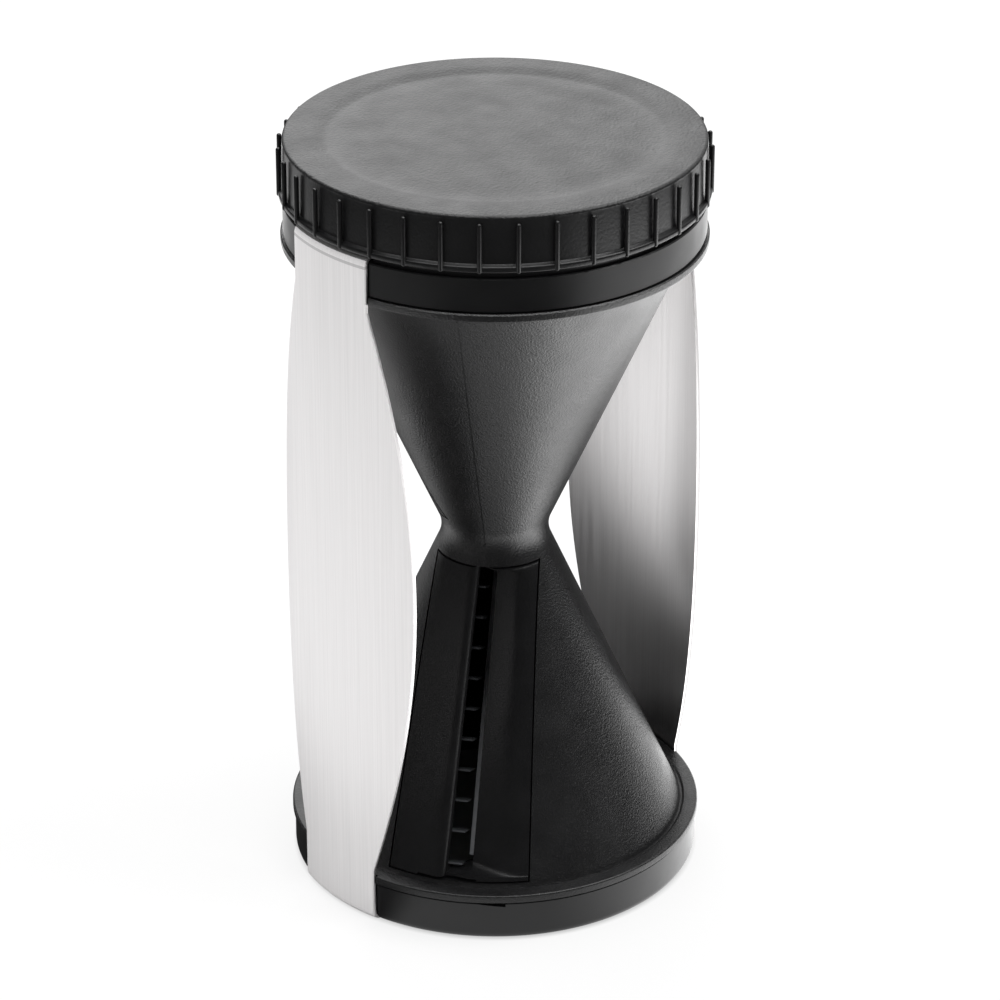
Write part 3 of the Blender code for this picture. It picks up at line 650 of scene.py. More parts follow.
def spark_eroded_plastic(name, colour, grain, depth, gloss, shine, halves=False, smooth_skirt=False):
    """ABS from a spark-eroded mould: black, with an even pebbled grain that breaks up its shine.

    The grain of such a mould is 0.1 to 0.2 mm; it is drawn at 0.3 mm or more, because one pixel
    of the picture covers 0.16 mm. The cap's mould is polished round its skirt, and the funnels'
    mould leaves a fine seam where its halves part.
    """
    material, tree, place = start_material(name)
    pebbles = add_node(tree, "TexVoronoi", {"Vector": place, "Scale": 1 / grain}, feature="SMOOTH_F1")
    fine = add_node(tree, "TexNoise", {"Vector": place, "Scale": FINE_GRAIN / grain, "Detail": 3.0})
    relief = add_node(tree, "Math", [pebbles, fine], operation="ADD")
    if smooth_skirt:
        level = add_node(tree, "SeparateXYZ", [place]).outputs["Z"]
        edge = cap_top() - CAP_EDGE
        grained = add_node(tree, "MapRange", [level, edge, edge + POLISH_EDGE, POLISHED_GRAIN, 1.0])
        relief = add_node(tree, "Math", [relief, grained], operation="MULTIPLY")
    if halves:
        across = (sin(PARTING_AZIMUTH), -cos(PARTING_AZIMUTH), 0.0)
        beside = add_node(tree, "VectorMath", [place, across], operation="DOT_PRODUCT")
        seam = add_node(tree, "MapRange", [beside, *PARTING_BAND, PARTING_STEP, 0.0])
        relief = add_node(tree, "Math", [relief, seam], operation="ADD")
    # Flow and cooling leave faint clouds some 5 mm across in the tone and the gloss.
    clouds = add_node(tree, "TexNoise", {"Vector": place, "Scale": 1 / FLOW_CLOUD, "Detail": 5.0})
    speckle = add_node(tree, "Math", [clouds, fine], operation="MULTIPLY")
    tone = add_node(tree, "Mix", [speckle, *shades(colour, FLOW_TONES)], data_type="RGBA")
    roughness = add_node(tree, "MapRange", [clouds, *NOISE_BAND, *gloss])
    if smooth_skirt:
        roughness = add_node(tree, "Mix", [grained, POLISHED_ROUGHNESS, roughness])
    shader = surface(tree, tone, roughness, relief, depth, IOR=ABS_IOR, Specular_IOR_Level=shine)
    if halves:
        # The upper half is drawn shinier than the lower one, to match the photo.
        level = add_node(tree, "SeparateXYZ", [place]).outputs["Z"]
        start, end = [middle() + step for step in SHINIER_FROM]
        eased = add_node(tree, "MapRange", [level, start, end, LOWER_HALF_SHINE, shine])
        tree.links.new(eased.outputs["Result"], shader.inputs["Specular IOR Level"])
    return material


def satin_plastic(name, colour):
    """ABS from a finely stoned mould: smoother black, with soft reflections and faint mould lines."""
    material, tree, place = start_material(name)
    # Stoning lines run round the part, about 0.5 mm apart, too faint to read as ribs.
    lines = streaks(tree, place, 9 * MM, 0.5 * MM, detail=3.0)
    clouds = add_node(tree, "TexNoise", {"Vector": place, "Scale": 1 / STONED_CLOUD, "Detail": 3.0})
    tone = add_node(tree, "Mix", [clouds, *shades(colour, STONED_TONES)], data_type="RGBA")
    roughness = add_node(tree, "MapRange", [clouds, *NOISE_BAND, *STONED_GLOSS])
    surface(tree, tone, roughness, lines, STREAK_DEPTH, IOR=ABS_IOR, Specular_IOR_Level=STONED_SHINE)
    return material


def brushed_stainless(name, colour):
    """Stainless sheet brushed lengthwise on a belt: light, with fine upright lines and a wide sheen."""
    material, tree, place = start_material(name)
    # Belt lines are 0.05 to 0.1 mm wide and tens of millimetres long; drawn 0.3 mm wide to show.
    lines = streaks(tree, place, 0.3 * MM, 30 * MM, detail=4.0)
    tone = add_node(tree, "Mix", [lines, *shades(colour, BRUSHED_TONES)], data_type="RGBA")
    # The mill finish is left smoother, and more of a mirror, on the inner face.
    flat = add_node(tree, "VectorMath", [place, (1.0, 1.0, 0.0)], operation="MULTIPLY")
    reach = add_node(tree, "VectorMath", [flat], operation="LENGTH")
    core = (strip_inner() + strip_outer()) / 2
    outside = add_node(tree, "Math", [reach, core], operation="GREATER_THAN")
    inner = add_node(tree, "MapRange", [lines, *NOISE_BAND, *MILL_GLOSS])
    roughness = add_node(tree, "Math", [outside, BELT_ROUGHER, inner], operation="MULTIPLY_ADD")
    metal = add_node(tree, "Mix", [outside, 1.0, BELT_METALLIC])
    # Painted shade: a darker line, 0.5 mm wide, across the sheet just below where the hook over the upper
    # ring is bent, for the dim reflection there.
    parts = add_node(tree, "SeparateXYZ", [place]).outputs
    bend = sizes().body_height - STRIP_INSET - STRIP_BEND - BEND_LINE_HALF
    line = add_node(tree, "Math", [parts["Z"], bend, BEND_LINE_HALF], operation="COMPARE")
    painted_shade = add_node(tree, "Math", [line, BEND_SHADE_SHARE], operation="MULTIPLY")
    # The photo doesn't show the right strip's outer face. Painted shade darkens it below the left one's,
    # so that it doesn't clip to white under the lamps in views from behind.
    right = add_node(tree, "Math", [parts["X"], 0.0], operation="GREATER_THAN")
    darker = add_node(tree, "Math", [right, outside], operation="MULTIPLY")
    darker = add_node(tree, "Math", [darker, RIGHT_SHADE_SHARE], operation="MULTIPLY")
    painted_shade = add_node(tree, "Math", [painted_shade, darker], operation="MAXIMUM")
    # Both painted shades darken the strips' tone here.
    tone = add_node(tree, "Mix", [painted_shade, tone, colour4(colour, PAINTED_SHADE_TONE)], data_type="RGBA")
    turned = {"vector_type": "VECTOR", "convert_from": "OBJECT", "convert_to": "WORLD"}
    across = add_node(tree, "VectorTransform", [(0.0, 1.0, 0.0)], **turned)
    sheen = {"Tangent": across, "Anisotropic": BRUSHED_SPREAD}
    surface(tree, tone, roughness, lines, BRUSHED_DEPTH, Metallic=metal, **sheen)
    return material


def ground_steel(name, colour, dull_ends=False):
    """Hardened steel, ground and lightly polished: bright, with fine grinding marks."""
    material, tree, place = start_material(name)
    # Grinding marks of a 0.1 mm grit, drawn 0.25 mm wide to show.
    marks = streaks(tree, place, 3 * MM, 0.25 * MM, detail=4.0)
    tone = add_node(tree, "Mix", [marks, *shades(colour, GROUND_TONES)], data_type="RGBA")
    roughness = add_node(tree, "MapRange", [marks, *NOISE_BAND, *GROUND_GLOSS])
    shader = surface(tree, tone, roughness, marks, STREAK_DEPTH, Metallic=1.0)
    if dull_ends:
        # Drawn duller towards the mouths, to match the knives in the photo. Its cause isn't known.
        level = add_node(tree, "SeparateXYZ", [place]).outputs["Z"]
        off = add_node(tree, "Math", [level, middle()], operation="SUBTRACT")
        off = add_node(tree, "Math", [off], operation="ABSOLUTE")
        dulled = add_node(tree, "MapRange", [off, *DULL_ENDS_FROM, 1.0, DULL_ENDS_METALLIC])
        tree.links.new(dulled.outputs["Result"], shader.inputs["Metallic"])
    return material


# Each finish: what makes it, the colour it takes, and its settings
FINISHES = {
    "spark_eroded_abs": (spark_eroded_plastic, "body", BODY_MOULD),
    "spark_eroded_abs_halves": (spark_eroded_plastic, "body", HALVES_MOULD),
    "cap_abs": (spark_eroded_plastic, "cap", CAP_MOULD),
    "stoned_abs": (satin_plastic, "ring", {}),
    "brushed_stainless": (brushed_stainless, "strip", {}),
    "stamped_steel": (ground_steel, "comb", {"dull_ends": True}),
    "oil_hardened_steel": (ground_steel, "blade", {"dull_ends": True}),
    "ground_steel": (ground_steel, "blade", {}),
}


def finish(name):
    """The material of this name, made the first time it is asked for."""
    if name not in bpy.data.materials:
        make, colour, settings = FINISHES[name]
        make(name, getattr(finishes(), colour), **settings)
    return bpy.data.materials[name]


# Pieces


def end_profile():
    """Lower end of the funnel body, from the cone's foot round the flange into the mouth."""
    face, under, foot = flange_face(), flange_under(), cone_foot_radius()
    groove_top = face + FOOT_GROOVE_DEPTH
    edge, lip = FLANGE_EDGE, flange_radius()
    mouth, seat = mouth_outer(), RING_END_THICKNESS + GAP
    bore = mouth_radius()
    bore_end = middle() - (bore + wall_out() - sizes().waist_radius) / cone_slope()
    return [
        (cone_radius(groove_top), groove_top),
        *[(foot + FOOT_GROOVE_WIDTH * share, face - FOOT_GROOVE_DEPTH) for share in FOOT_GROOVE_FLAT],
        (foot + FOOT_GROOVE_WIDTH, face),
        *arc((lip - edge, face - edge), edge, 90.0, 0.0, EDGE_STEPS),
        (lip, under + RING_EDGE),
        (lip - RING_EDGE, under),
        (mouth, under),
        (mouth, seat),
        (bore, seat),
        (bore, bore_end),
    ]


def waist_arc(fillet, radius_at_waist):
    """Concave fillet between the two cones, from the upper cone down to the lower one."""
    angle = atan(cone_slope())
    centre = (radius_at_waist + fillet / cos(angle), middle())
    return arc(centre, fillet, 180.0 - degrees(angle), 180.0 + degrees(angle), WAIST_STEPS)


def front_tool(name, placement, outline, near=0.0):
    """An outline in front view, drawn outward past the skin from this far before the axis."""
    points = [placement @ Vector((x, -near, z)) for x, z in outline]
    return prism(name, points, placement.to_3x3() @ Vector((0, -2 * flange_radius(), 0)))


def window_tool(name, placement):
    """Opening in a cone that a carrier fits, with a fine gap all round."""
    right = [
        (carrier_half_width(z) + CARRIER_GAP, z) for z in (carrier_bottom() - GAP, carrier_top() + GAP)
    ]
    outline = right + [(-x, z) for x, z in reversed(right)]
    return front_tool(name, placement, outline, CARRIER_BACK - GAP)


def seat_tool(name, upper):
    """Follows both strips round a ring's end, its side and the flange, a gap away from them."""
    thick = sizes().strip_thickness
    bend = STRIP_BEND - thick - GAP
    centre = (strip_outer() - STRIP_BEND, STRIP_INSET + STRIP_BEND)
    top, outer = flange_face() + GAP, strip_outer() + thick
    profile = [
        (outer, top),
        (outer, -GAP),
        (hook_radius() - GAP, -GAP),
        (hook_radius() - GAP, STRIP_INSET + thick + GAP),
        *arc(centre, bend, -90.0, 0.0),
        (strip_inner() - GAP, top),
    ]
    if upper:
        profile = mirrored(profile)
    seat = turn(name, profile)
    half = sizes().strip_end_width / 2 + GAP
    reach = 2 * strip_outer()
    rim, height = sizes().rim_radius, sizes().body_height
    corners = [(-half, -rim), (half, -rim), (half, height + rim), (-half, height + rim)]
    width = prism(name + "_width", [Vector((-reach, y, z)) for y, z in corners], (2 * reach, 0, 0))
    combine(seat, width, "INTERSECT")
    return seat


class SPIRALIZER_OT_funnel_body(Operator):
    """Model the double funnel with its flanges, the inserts' windows and the strips' seats"""

    bl_idname = "spiralizer.funnel_body"
    bl_label = "Funnel body"

    def execute(self, context):
        lower_end = end_profile()
        profile = [
            *mirrored(lower_end),
            *waist_arc(WAIST_FILLET, sizes().waist_radius),
            *lower_end,
            *reversed(waist_arc(WAIST_FILLET + wall_out(), sizes().waist_radius - wall_out())),
        ]
        body = turn("dressed_funnel_body", profile)
        combine(body, window_tool("coarse_window", facing(sizes().coarse_azimuth)))
        combine(body, window_tool("fine_window", end_for_end() @ facing(-sizes().fine_azimuth)))
        combine(body, seat_tool("lower_flange_seat", upper=False))
        combine(body, seat_tool("upper_flange_seat", upper=True))
        finish_piece(body, finish("spark_eroded_abs_halves"), "body_plastic", "slicer_body", "funnel_body")
        return {"FINISHED"}


def seam_notch_tool(name, azimuths, upper):
    """Tapered recess in a ring's edge beside the seam, deepest at its second azimuth."""
    start, end = azimuths
    seam, base = flange_under(), flange_under() - RING_SEAM
    outer, inner = flange_radius(), sizes().rim_radius - SEAM_NOTCH_DEPTH
    placement = end_for_end() if upper else Matrix()
    sign = -1 if upper else 1
    loops = []
    for i in range(NOTCH_STEPS + 1):
        share = i / NOTCH_STEPS
        angle = sign * radians(start + (end - start) * share)
        drop = SEAM_NOTCH_HEIGHT * (SEAM_NOTCH_START + (1 - SEAM_NOTCH_START) * share)
        corners = ((outer, seam), (inner, seam), (inner, base - drop), (outer, base - drop))
        loops.append([placement @ Vector((r * cos(angle), r * sin(angle), z)) for r, z in corners])
    return loft(name, loops)


def model_ring(name, upper):
    """Rim ring: an L section, rounded where it stands and rebated where the guard sits."""
    inner_end, inner_wall = mouth_radius() + GAP, mouth_outer() + GAP
    rim, height, corner = sizes().rim_radius, flange_under() - RING_SEAM, RING_CORNER
    rebate, step = rim - RING_REBATE_DEPTH, RING_REBATE_HEIGHT
    rebated = [(rim, step + RING_EDGE), (rim - RING_EDGE, step), (rebate, step), (rebate, 0.0)]
    profile = [
        (inner_wall, height),
        (rim - RING_EDGE, height),
        (rim, height - RING_EDGE),
        *(rebated if upper else arc((rim - corner, corner), corner, 0.0, -90.0)),
        (inner_end, 0.0),
        (inner_end, RING_END_THICKNESS),
        (inner_wall, RING_END_THICKNESS),
    ]
    ring = turn(name, mirrored(profile) if upper else profile)
    combine(ring, seat_tool(name + "_seat", upper))
    azimuths = TOP_NOTCH_AZIMUTHS if upper else BASE_NOTCH_AZIMUTHS
    combine(ring, seam_notch_tool(name + "_notch", azimuths, upper))
    return ring


class SPIRALIZER_OT_rim_rings(Operator):
    """Model the two rim rings with their rounded ends, strip seats and seam notches"""

    bl_idname = "spiralizer.rim_rings"
    bl_label = "Rim rings"

    def execute(self, context):
        for node, upper in (("lower_rim_ring", False), ("upper_rim_ring", True)):
            ring = model_ring("dressed_" + node, upper)
            finish_piece(ring, finish("stoned_abs"), "ring_plastic", "slicer_body", node)
        return {"FINISHED"}


def model_strip(name, azimuth):
    """Bent sheet with a hook at each end, cut to an outline that swells to the middle."""
    thick, height, outer = sizes().strip_thickness, sizes().body_height, strip_outer()
    low, high = STRIP_INSET, height - STRIP_INSET
    bend_r, inside = outer - STRIP_BEND, STRIP_BEND - thick
    top, bottom = (bend_r, high - STRIP_BEND), (bend_r, low + STRIP_BEND)
    profile = [
        (hook_radius(), high),
        *arc(top, STRIP_BEND, 90.0, 0.0),
        (outer, high - 2 * STRIP_BEND),
        (outer, low + 2 * STRIP_BEND),
        *arc(bottom, STRIP_BEND, 0.0, -90.0),
        (hook_radius(), low),
        (hook_radius(), low + thick),
        *arc(bottom, inside, -90.0, 0.0),
        (strip_inner(), low + 2 * STRIP_BEND),
        (strip_inner(), high - 2 * STRIP_BEND),
        *arc(top, inside, 0.0, 90.0),
        (hook_radius(), high - thick),
    ]
    sheet = turn(name, profile, STRIP_STEPS, start=azimuth - STRIP_SWEEP / 2, sweep=STRIP_SWEEP)

    half_end, half_middle = sizes().strip_end_width / 2, sizes().strip_middle_width / 2
    half_length = middle() - STRIP_STRAIGHT_END
    swell = half_middle - half_end
    radius = (half_length**2 + swell**2) / (2 * swell)
    reach = degrees(atan(half_length / (radius - swell)))
    bulge = arc((half_middle - radius, middle()), radius, -reach, reach, BULGE_STEPS)
    right = [(half_end, -thick), *bulge, (half_end, height + thick)]
    outline = right + [(-x, z) for x, z in reversed(right)]
    front = facing(azimuth)
    points = [front @ Vector((x, 0, z)) for x, z in outline]
    blank = prism(name + "_outline", points, front.to_3x3() @ Vector((0, -2 * outer, 0)))
    combine(sheet, blank, "INTERSECT")
    round_edges(sheet, STRIP_EDGE)
    return sheet


class SPIRALIZER_OT_grip_strips(Operator):
    """Model the two steel strips that hook over both rings"""

    bl_idname = "spiralizer.grip_strips"
    bl_label = "Grip strips"

    def execute(self, context):
        for node, azimuth in (("left_grip_strip", pi), ("right_grip_strip", 0.0)):
            strip = model_strip("dressed_" + node, azimuth)
            finish_piece(strip, finish("brushed_stainless"), "brushed_strip", "slicer_body", node)
        return {"FINISHED"}


def slot_left(z, widths):
    """Left edge of a carrier's slot, which widens from the waist to the foot."""
    waist_width, foot_width = widths
    return BLADE_EDGE_OFFSET - along_carrier(z, foot_width, waist_width)


def blade_depth(x, z, strand):
    """Distance of the blade's inner face from the axis, in front view."""
    return bore_radius(z) - strand + (x - BLADE_EDGE_OFFSET) * sin(BLADE_LIFT)


def round_depth(radius, x):
    """Distance from the axis plane of a circle at this side offset, no nearer than the back."""
    return sqrt(max(radius**2 - x**2, CARRIER_BACK**2))


def wing_depth(x, z, strand):
    """Outer face of the right wing: scooped down to the blade, and run out into the cone all round."""
    cone, sunk = round_depth(cone_radius(z), x), blade_depth(x, z, strand) + CARRIER_WALL
    low = (cone + sunk - sqrt((cone - sunk) ** 2 + SCOOP_BLEND**2)) / 2
    inside = min(z - slot_bottom(), slot_top() - z) / SCOOP_ROUND
    share = sqrt(1 - (1 - min(1.0, max(0.0, inside))) ** 2)
    return cone - share * (cone - low)


def carrier_loop(z, widths, strand):
    """A carrier's section at one height: the cone's wall, raised to a rounded ridge beside the slot."""
    half, left = carrier_half_width(z), slot_left(z, widths)
    fade = min(1.0, (carrier_top() - z) / RIDGE_FADE)
    shoulder = left - RIDGE_ROUND
    shares = [(i / LEFT_COLUMNS) ** LEFT_COLUMNS_DRAW for i in range(LEFT_COLUMNS + 1)]
    columns = [-half + (shoulder + half) * share for share in shares]
    columns += [shoulder + RIDGE_ROUND * sin(radians(a)) for a in range(RIDGE_STEP, 90, RIDGE_STEP)]
    outer, inner = [], []
    for x in columns:
        ramp = (x + half) / (left + half)
        skin = round_depth(cone_radius(z), x) + RIDGE_HEIGHT * fade * ramp**2
        if x > shoulder:
            skin -= RIDGE_ROUND - sqrt(max(RIDGE_ROUND**2 - (x - shoulder) ** 2, 0.0))
        outer.append(Vector((x, -skin, z)))
        inner.append(Vector((x, -round_depth(bore_radius(z), x), z)))
    edge = plastic_edge()
    for i in range(RIGHT_COLUMNS + 1):
        x = edge + (half - edge) * i / RIGHT_COLUMNS
        outer.append(Vector((x, -wing_depth(x, z, strand), z)))
        inner.append(Vector((x, -min(round_depth(bore_radius(z), x), blade_depth(x, z, strand)), z)))
    return outer + inner[::-1]


def along_frame(side, rise, strand):
    """Frame on the carrier: X across it, Y outward from its face, Z down towards the foot."""
    down = Vector((0, -cone_slope(), -1)).normalized()
    across = Vector((cos(rise), -sin(rise), 0))
    across = (across - across.dot(down) * down).normalized()
    origin = Vector((side, -(bore_radius(middle()) - strand), middle()))
    axes = Matrix((across, down.cross(across), down)).transposed().to_4x4()
    return Matrix.Translation(origin) @ axes


def down_slope(z):
    """Distance down the cone from the middle to a height."""
    return (middle() - z) / cos(atan(cone_slope()))


def box_tool(name, frame_matrix, x, y, z):
    """A box between two values along each axis of a frame."""
    corners = [(x[0], y[0]), (x[1], y[0]), (x[1], y[1]), (x[0], y[1])]
    points = [frame_matrix @ Vector((a, b, z[0])) for a, b in corners]
    return prism(name, points, frame_matrix.to_3x3() @ Vector((0, 0, z[1] - z[0])))


def model_carrier(name, placement, strand, widths):
    """Insert with a slot between a raised left wing and a scooped right wing that holds the blade."""
    bottom, top = carrier_bottom(), carrier_top()
    ends = [SCOOP_ROUND * (1 - cos(radians(a))) for a in range(0, 91, SCOOP_STEP)]
    low_end = [slot_bottom() + step for step in ends]
    high_end = [slot_top() - step for step in reversed(ends)]
    span = high_end[0] - low_end[-1]
    rows = [low_end[-1] + span * i / CARRIER_ROWS for i in range(1, CARRIER_ROWS)]
    heights = [bottom, *low_end, *rows, *high_end, top]
    loops = [[placement @ p for p in carrier_loop(z, widths, strand)] for z in heights]
    carrier = loft(name, loops)

    low, high = slot_bottom() + GAP, slot_top() - GAP
    edge = plastic_edge()

    slot_low = slot_bottom() + GAP / 2
    low_left, high_left = slot_left(slot_low, widths), slot_left(high, widths)
    outline = [(low_left, slot_low), (edge, slot_low), (edge, high), (high_left, high)]
    combine(carrier, front_tool(name + "_slot", placement, outline))

    comb_side = (COMB_SPINE_OFFSET - COMB_SPINE_WIDTH - GAP, BLADE_EDGE_OFFSET - GAP)
    seats = (
        ("_blade", (BLADE_EDGE_OFFSET, BLADE_LIFT, strand), (-GAP, BLADE_WIDTH + GAP), BLADE_THICKNESS),
        ("_comb", (0.0, 0.0, 0.0), comb_side, COMB_THICKNESS),
    )
    for kind, held, across, thickness in seats:
        depth, length = (-BLADE_WIDTH, thickness + GAP), (down_slope(high), down_slope(low))
        seat = box_tool(name + kind, placement @ along_frame(*held), across, depth, length)
        combine(carrier, seat)

    left, right = FOOT_POCKET_SIDES
    near = cone_radius(carrier_bottom()) - FOOT_POCKET_DEPTH
    under, over = bottom - GAP, slot_bottom() - GAP
    foot = [(left, under), (right, under), (right, over), (left, over)]
    combine(carrier, front_tool(name + "_pocket", placement, foot, near))
    round_edges(carrier, CARRIER_EDGE)
    return carrier


class SPIRALIZER_OT_blade_carriers(Operator):
    """Model the two slotted inserts that hold the blades and combs"""

    bl_idname = "spiralizer.blade_carriers"
    bl_label = "Blade carriers"

    def execute(self, context):
        lower = facing(sizes().coarse_azimuth)
        upper = end_for_end() @ facing(-sizes().fine_azimuth)
        kinds = (
            ("coarse", lower, sizes().coarse_strand, COARSE_SLOT_WIDTHS),
            ("fine", upper, sizes().fine_strand, FINE_SLOT_WIDTHS),
        )
        for kind, placement, strand, widths in kinds:
            node = kind + "_blade_carrier"
            carrier = model_carrier("dressed_" + node, placement, strand, widths)
            finish_piece(carrier, finish("spark_eroded_abs"), "body_plastic", "slicer_body", node)
        return {"FINISHED"}


class SPIRALIZER_OT_blades(Operator):
    """Give the ground blades and combs of the frame their steel"""

    bl_idname = "spiralizer.blades"
    bl_label = "Blades and combs"

    def execute(self, context):
        for kind in ("coarse", "fine"):
            for part, steel in (("slicing_blade", "oil_hardened_steel"), ("julienne_comb", "stamped_steel")):
                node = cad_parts[f"{kind}_{part}"]
                node.data.materials.clear()
                node.data.materials.append(finish(steel))
        return {"FINISHED"}


def cap_profile():
    """Guard cap: a plate dished inside a soft crease, a skirt and a small bead at its bottom edge."""
    rim, seat, top = sizes().rim_radius, guard_seat(), cap_top()
    dish = top - CAP_DISH_DEPTH
    dish_radius = rim - CAP_DISH_INSET
    bead, curve = rim + CAP_BEAD, CAP_BEAD_ROUND
    crease = [
        (dish_radius - CAP_CREASE + 2 * CAP_CREASE * s, dish + CAP_DISH_DEPTH * s * s * (3 - 2 * s))
        for s in [i / CREASE_STEPS for i in range(CREASE_STEPS + 1)]
    ]
    flat_end = dish_radius - CAP_CREASE
    shares = [i / CROWN_STEPS for i in range(CROWN_STEPS)]
    crown = [(flat_end * s, dish + CAP_CROWN * (1 - s * s)) for s in shares]
    low = seat - CAP_BEAD_DROP
    return [
        *crown,
        *crease,
        *arc((rim - CAP_DRAFT - CAP_EDGE, top - CAP_EDGE), CAP_EDGE, 90.0, 0.0),
        (rim, low + CAP_BEAD_HEIGHT + curve / 2),
        *arc((bead - curve, low + CAP_BEAD_HEIGHT - curve), curve, 80.0, 0.0, BEAD_STEPS),
        *arc((bead - curve, low + curve), curve, 0.0, -90.0, EDGE_STEPS),
        (rim - CAP_BEAD_INNER, low),
        (rim - CAP_BEAD_INNER, seat),
        (rim - CAP_WALL, seat),
        (rim - CAP_WALL, plate_under()),
        (0.0, plate_under()),
    ]


def model_ribs():
    """One grip rib, a ball drawn out to a capsule, and its copies round the cap."""
    top = cap_top() - RIB_TOP_DROP - RIB_RADIUS
    foot = guard_seat() - RIB_HANG + RIB_RADIUS
    centre = sizes().rim_radius + RIB_PROUD - RIB_RADIUS
    first = radians(RIB_FIRST_AZIMUTH)
    place = (centre * cos(first), centre * sin(first), foot)
    bpy.ops.object.select_all(action="DESELECT")
    bpy.ops.mesh.primitive_uv_sphere_add(
        segments=RIB_SEGMENTS, ring_count=RIB_RINGS, radius=RIB_RADIUS, location=place
    )
    rib = bpy.context.object
    rib.name = "cap_ribs"
    put_in_mesh()
    select_corners(rib, lambda place: place.z > foot - MERGE)
    bpy.ops.mesh.extrude_region_move(TRANSFORM_OT_translate={"value": (0, 0, top - foot)})
    bpy.ops.object.mode_set(mode="OBJECT")
    count = sizes().rib_count
    ribs = [rib]
    for i in range(1, count):
        activate(rib)
        bpy.ops.object.duplicate()
        bpy.ops.transform.rotate(value=2 * pi * i / count, orient_axis="Z", center_override=(0, 0, 0))
        put_in_mesh()
        ribs.append(bpy.context.object)
    for copy in ribs:
        copy.select_set(True)
    bpy.context.view_layer.objects.active = rib
    bpy.ops.object.join()
    return rib


class SPIRALIZER_OT_guard_cap(Operator):
    """Model the guard's cap with its dished top, bottom bead and ring of grip ribs"""

    bl_idname = "spiralizer.guard_cap"
    bl_label = "Guard cap"

    def execute(self, context):
        cap = turn("dressed_guard_cap", cap_profile(), CAP_STEPS, closed=False)
        combine(cap, model_ribs(), "UNION")
        finish_piece(cap, finish("cap_abs"), "cap_plastic", "guard", "guard_cap")
        return {"FINISHED"}


def spike_places():
    count = sizes().spike_count
    return [2 * pi * i / count + pi / 2 for i in range(count)]


class SPIRALIZER_OT_food_holder(Operator):
    """Model the disc that closes the cap, centres it in the mouth and holds the spikes"""

    bl_idname = "spiralizer.food_holder"
    bl_label = "Food holder"

    def execute(self, context):
        seat = guard_seat()
        rim_outer = sizes().rim_radius - CAP_WALL - GAP
        rim_inner = rim_outer - HOLDER_RIM_WALL
        spigot = mouth_radius() - GAP
        under = spike_head_under() - GAP
        profile = [
            (0.0, under),
            (BOSS_RADIUS, under),
            (BOSS_RADIUS, seat + HOLDER_DISC),
            (rim_inner, seat + HOLDER_DISC),
            (rim_inner, plate_under() - GAP),
            (rim_outer, plate_under() - GAP),
            (rim_outer, seat),
            (spigot, seat),
            (spigot, seat - SPIGOT_DEPTH + SPIGOT_CHAMFER),
            (spigot - SPIGOT_CHAMFER, seat - SPIGOT_DEPTH),
            (spigot - SPIGOT_WALL, seat - SPIGOT_DEPTH),
            (spigot - SPIGOT_WALL, seat),
            (BOSS_RADIUS, seat),
            (BOSS_RADIUS - BOSS_DROP, seat - BOSS_DROP),
            (0.0, seat - BOSS_DROP),
        ]
        holder = turn("dressed_food_holder", profile, closed=False)
        for azimuth, circle in [(0.0, 0.0)] + [(a, SPIKE_CIRCLE) for a in spike_places()]:
            bpy.ops.object.select_all(action="DESELECT")
            bpy.ops.mesh.primitive_cylinder_add(
                vertices=SPIKE_STEPS,
                radius=SPIKE_RADIUS + GAP,
                depth=6 * sizes().cap_height,
                location=(circle * cos(azimuth), circle * sin(azimuth), seat),
            )
            bore = bpy.context.object
            put_in_mesh()
            combine(holder, bore)
        round_edges(holder, HOLDER_EDGE)
        finish_piece(holder, finish("stoned_abs"), "body_plastic", "guard", "food_holder")
        return {"FINISHED"}


def model_spike(name, azimuth, circle, length):
    """Pin with a flat head and a ground point."""
    under = spike_head_under()
    tip = guard_seat() - BOSS_DROP - length
    head, edge = SPIKE_HEAD_RADIUS, SPIKE_HEAD_EDGE
    profile = [
        (0.0, under + SPIKE_HEAD),
        *arc((head - edge, under + SPIKE_HEAD - edge), edge, 90.0, 0.0, HEAD_STEPS),
        (head, under),
        (SPIKE_RADIUS, under),
        (SPIKE_RADIUS, tip + SPIKE_POINT),
        *[(SPIKE_RADIUS * wide, tip + SPIKE_POINT * high) for wide, high in SPIKE_POINT_SHAPE],
        (0.0, tip),
    ]
    spike = turn(name, profile, SPIKE_STEPS, closed=False)
    activate(spike)
    bpy.ops.object.mode_set(mode="EDIT")
    bpy.ops.mesh.select_all(action="SELECT")
    bpy.ops.transform.translate(value=(circle * cos(azimuth), circle * sin(azimuth), 0.0))
    bpy.ops.object.mode_set(mode="OBJECT")
    return spike


class SPIRALIZER_OT_spikes(Operator):
    """Model the centre spike and the outer spikes that turn the food"""

    bl_idname = "spiralizer.spikes"
    bl_label = "Spikes"

    def execute(self, context):
        length = sizes().spike_length
        centre = model_spike("dressed_centre_spike", 0.0, 0.0, length + CENTRE_SPIKE_EXTRA)
        finish_piece(centre, finish("ground_steel"), "blade_steel", "turning_pin", "centre_spike")
        for number, azimuth in enumerate(spike_places(), start=1):
            node = f"outer_spike_{number}"
            spike = model_spike("dressed_" + node, azimuth, SPIKE_CIRCLE, length)
            finish_piece(spike, finish("ground_steel"), "blade_steel", "guard", node)
        return {"FINISHED"}


# Studio


def towards(tree, heading, azimuth, elevation, end, full, low=0.0, high=1.0):
    """A soft spot of directions round this one: high inside its full half-angle, low past its end."""
    flat = cos(radians(elevation))
    aim = (flat * cos(radians(azimuth)), flat * sin(radians(azimuth)), sin(radians(elevation)))
    along = add_node(tree, "VectorMath", [heading, aim], operation="DOT_PRODUCT")
    band = [along, cos(radians(end)), cos(radians(full)), low, high]
    return add_node(tree, "MapRange", band, interpolation_type="SMOOTHSTEP")


def largest(tree, values):
    """The largest of several values."""
    top = values[0]
    for value in values[1:]:
        top = add_node(tree, "Math", [top, value], operation="MAXIMUM")
    return top


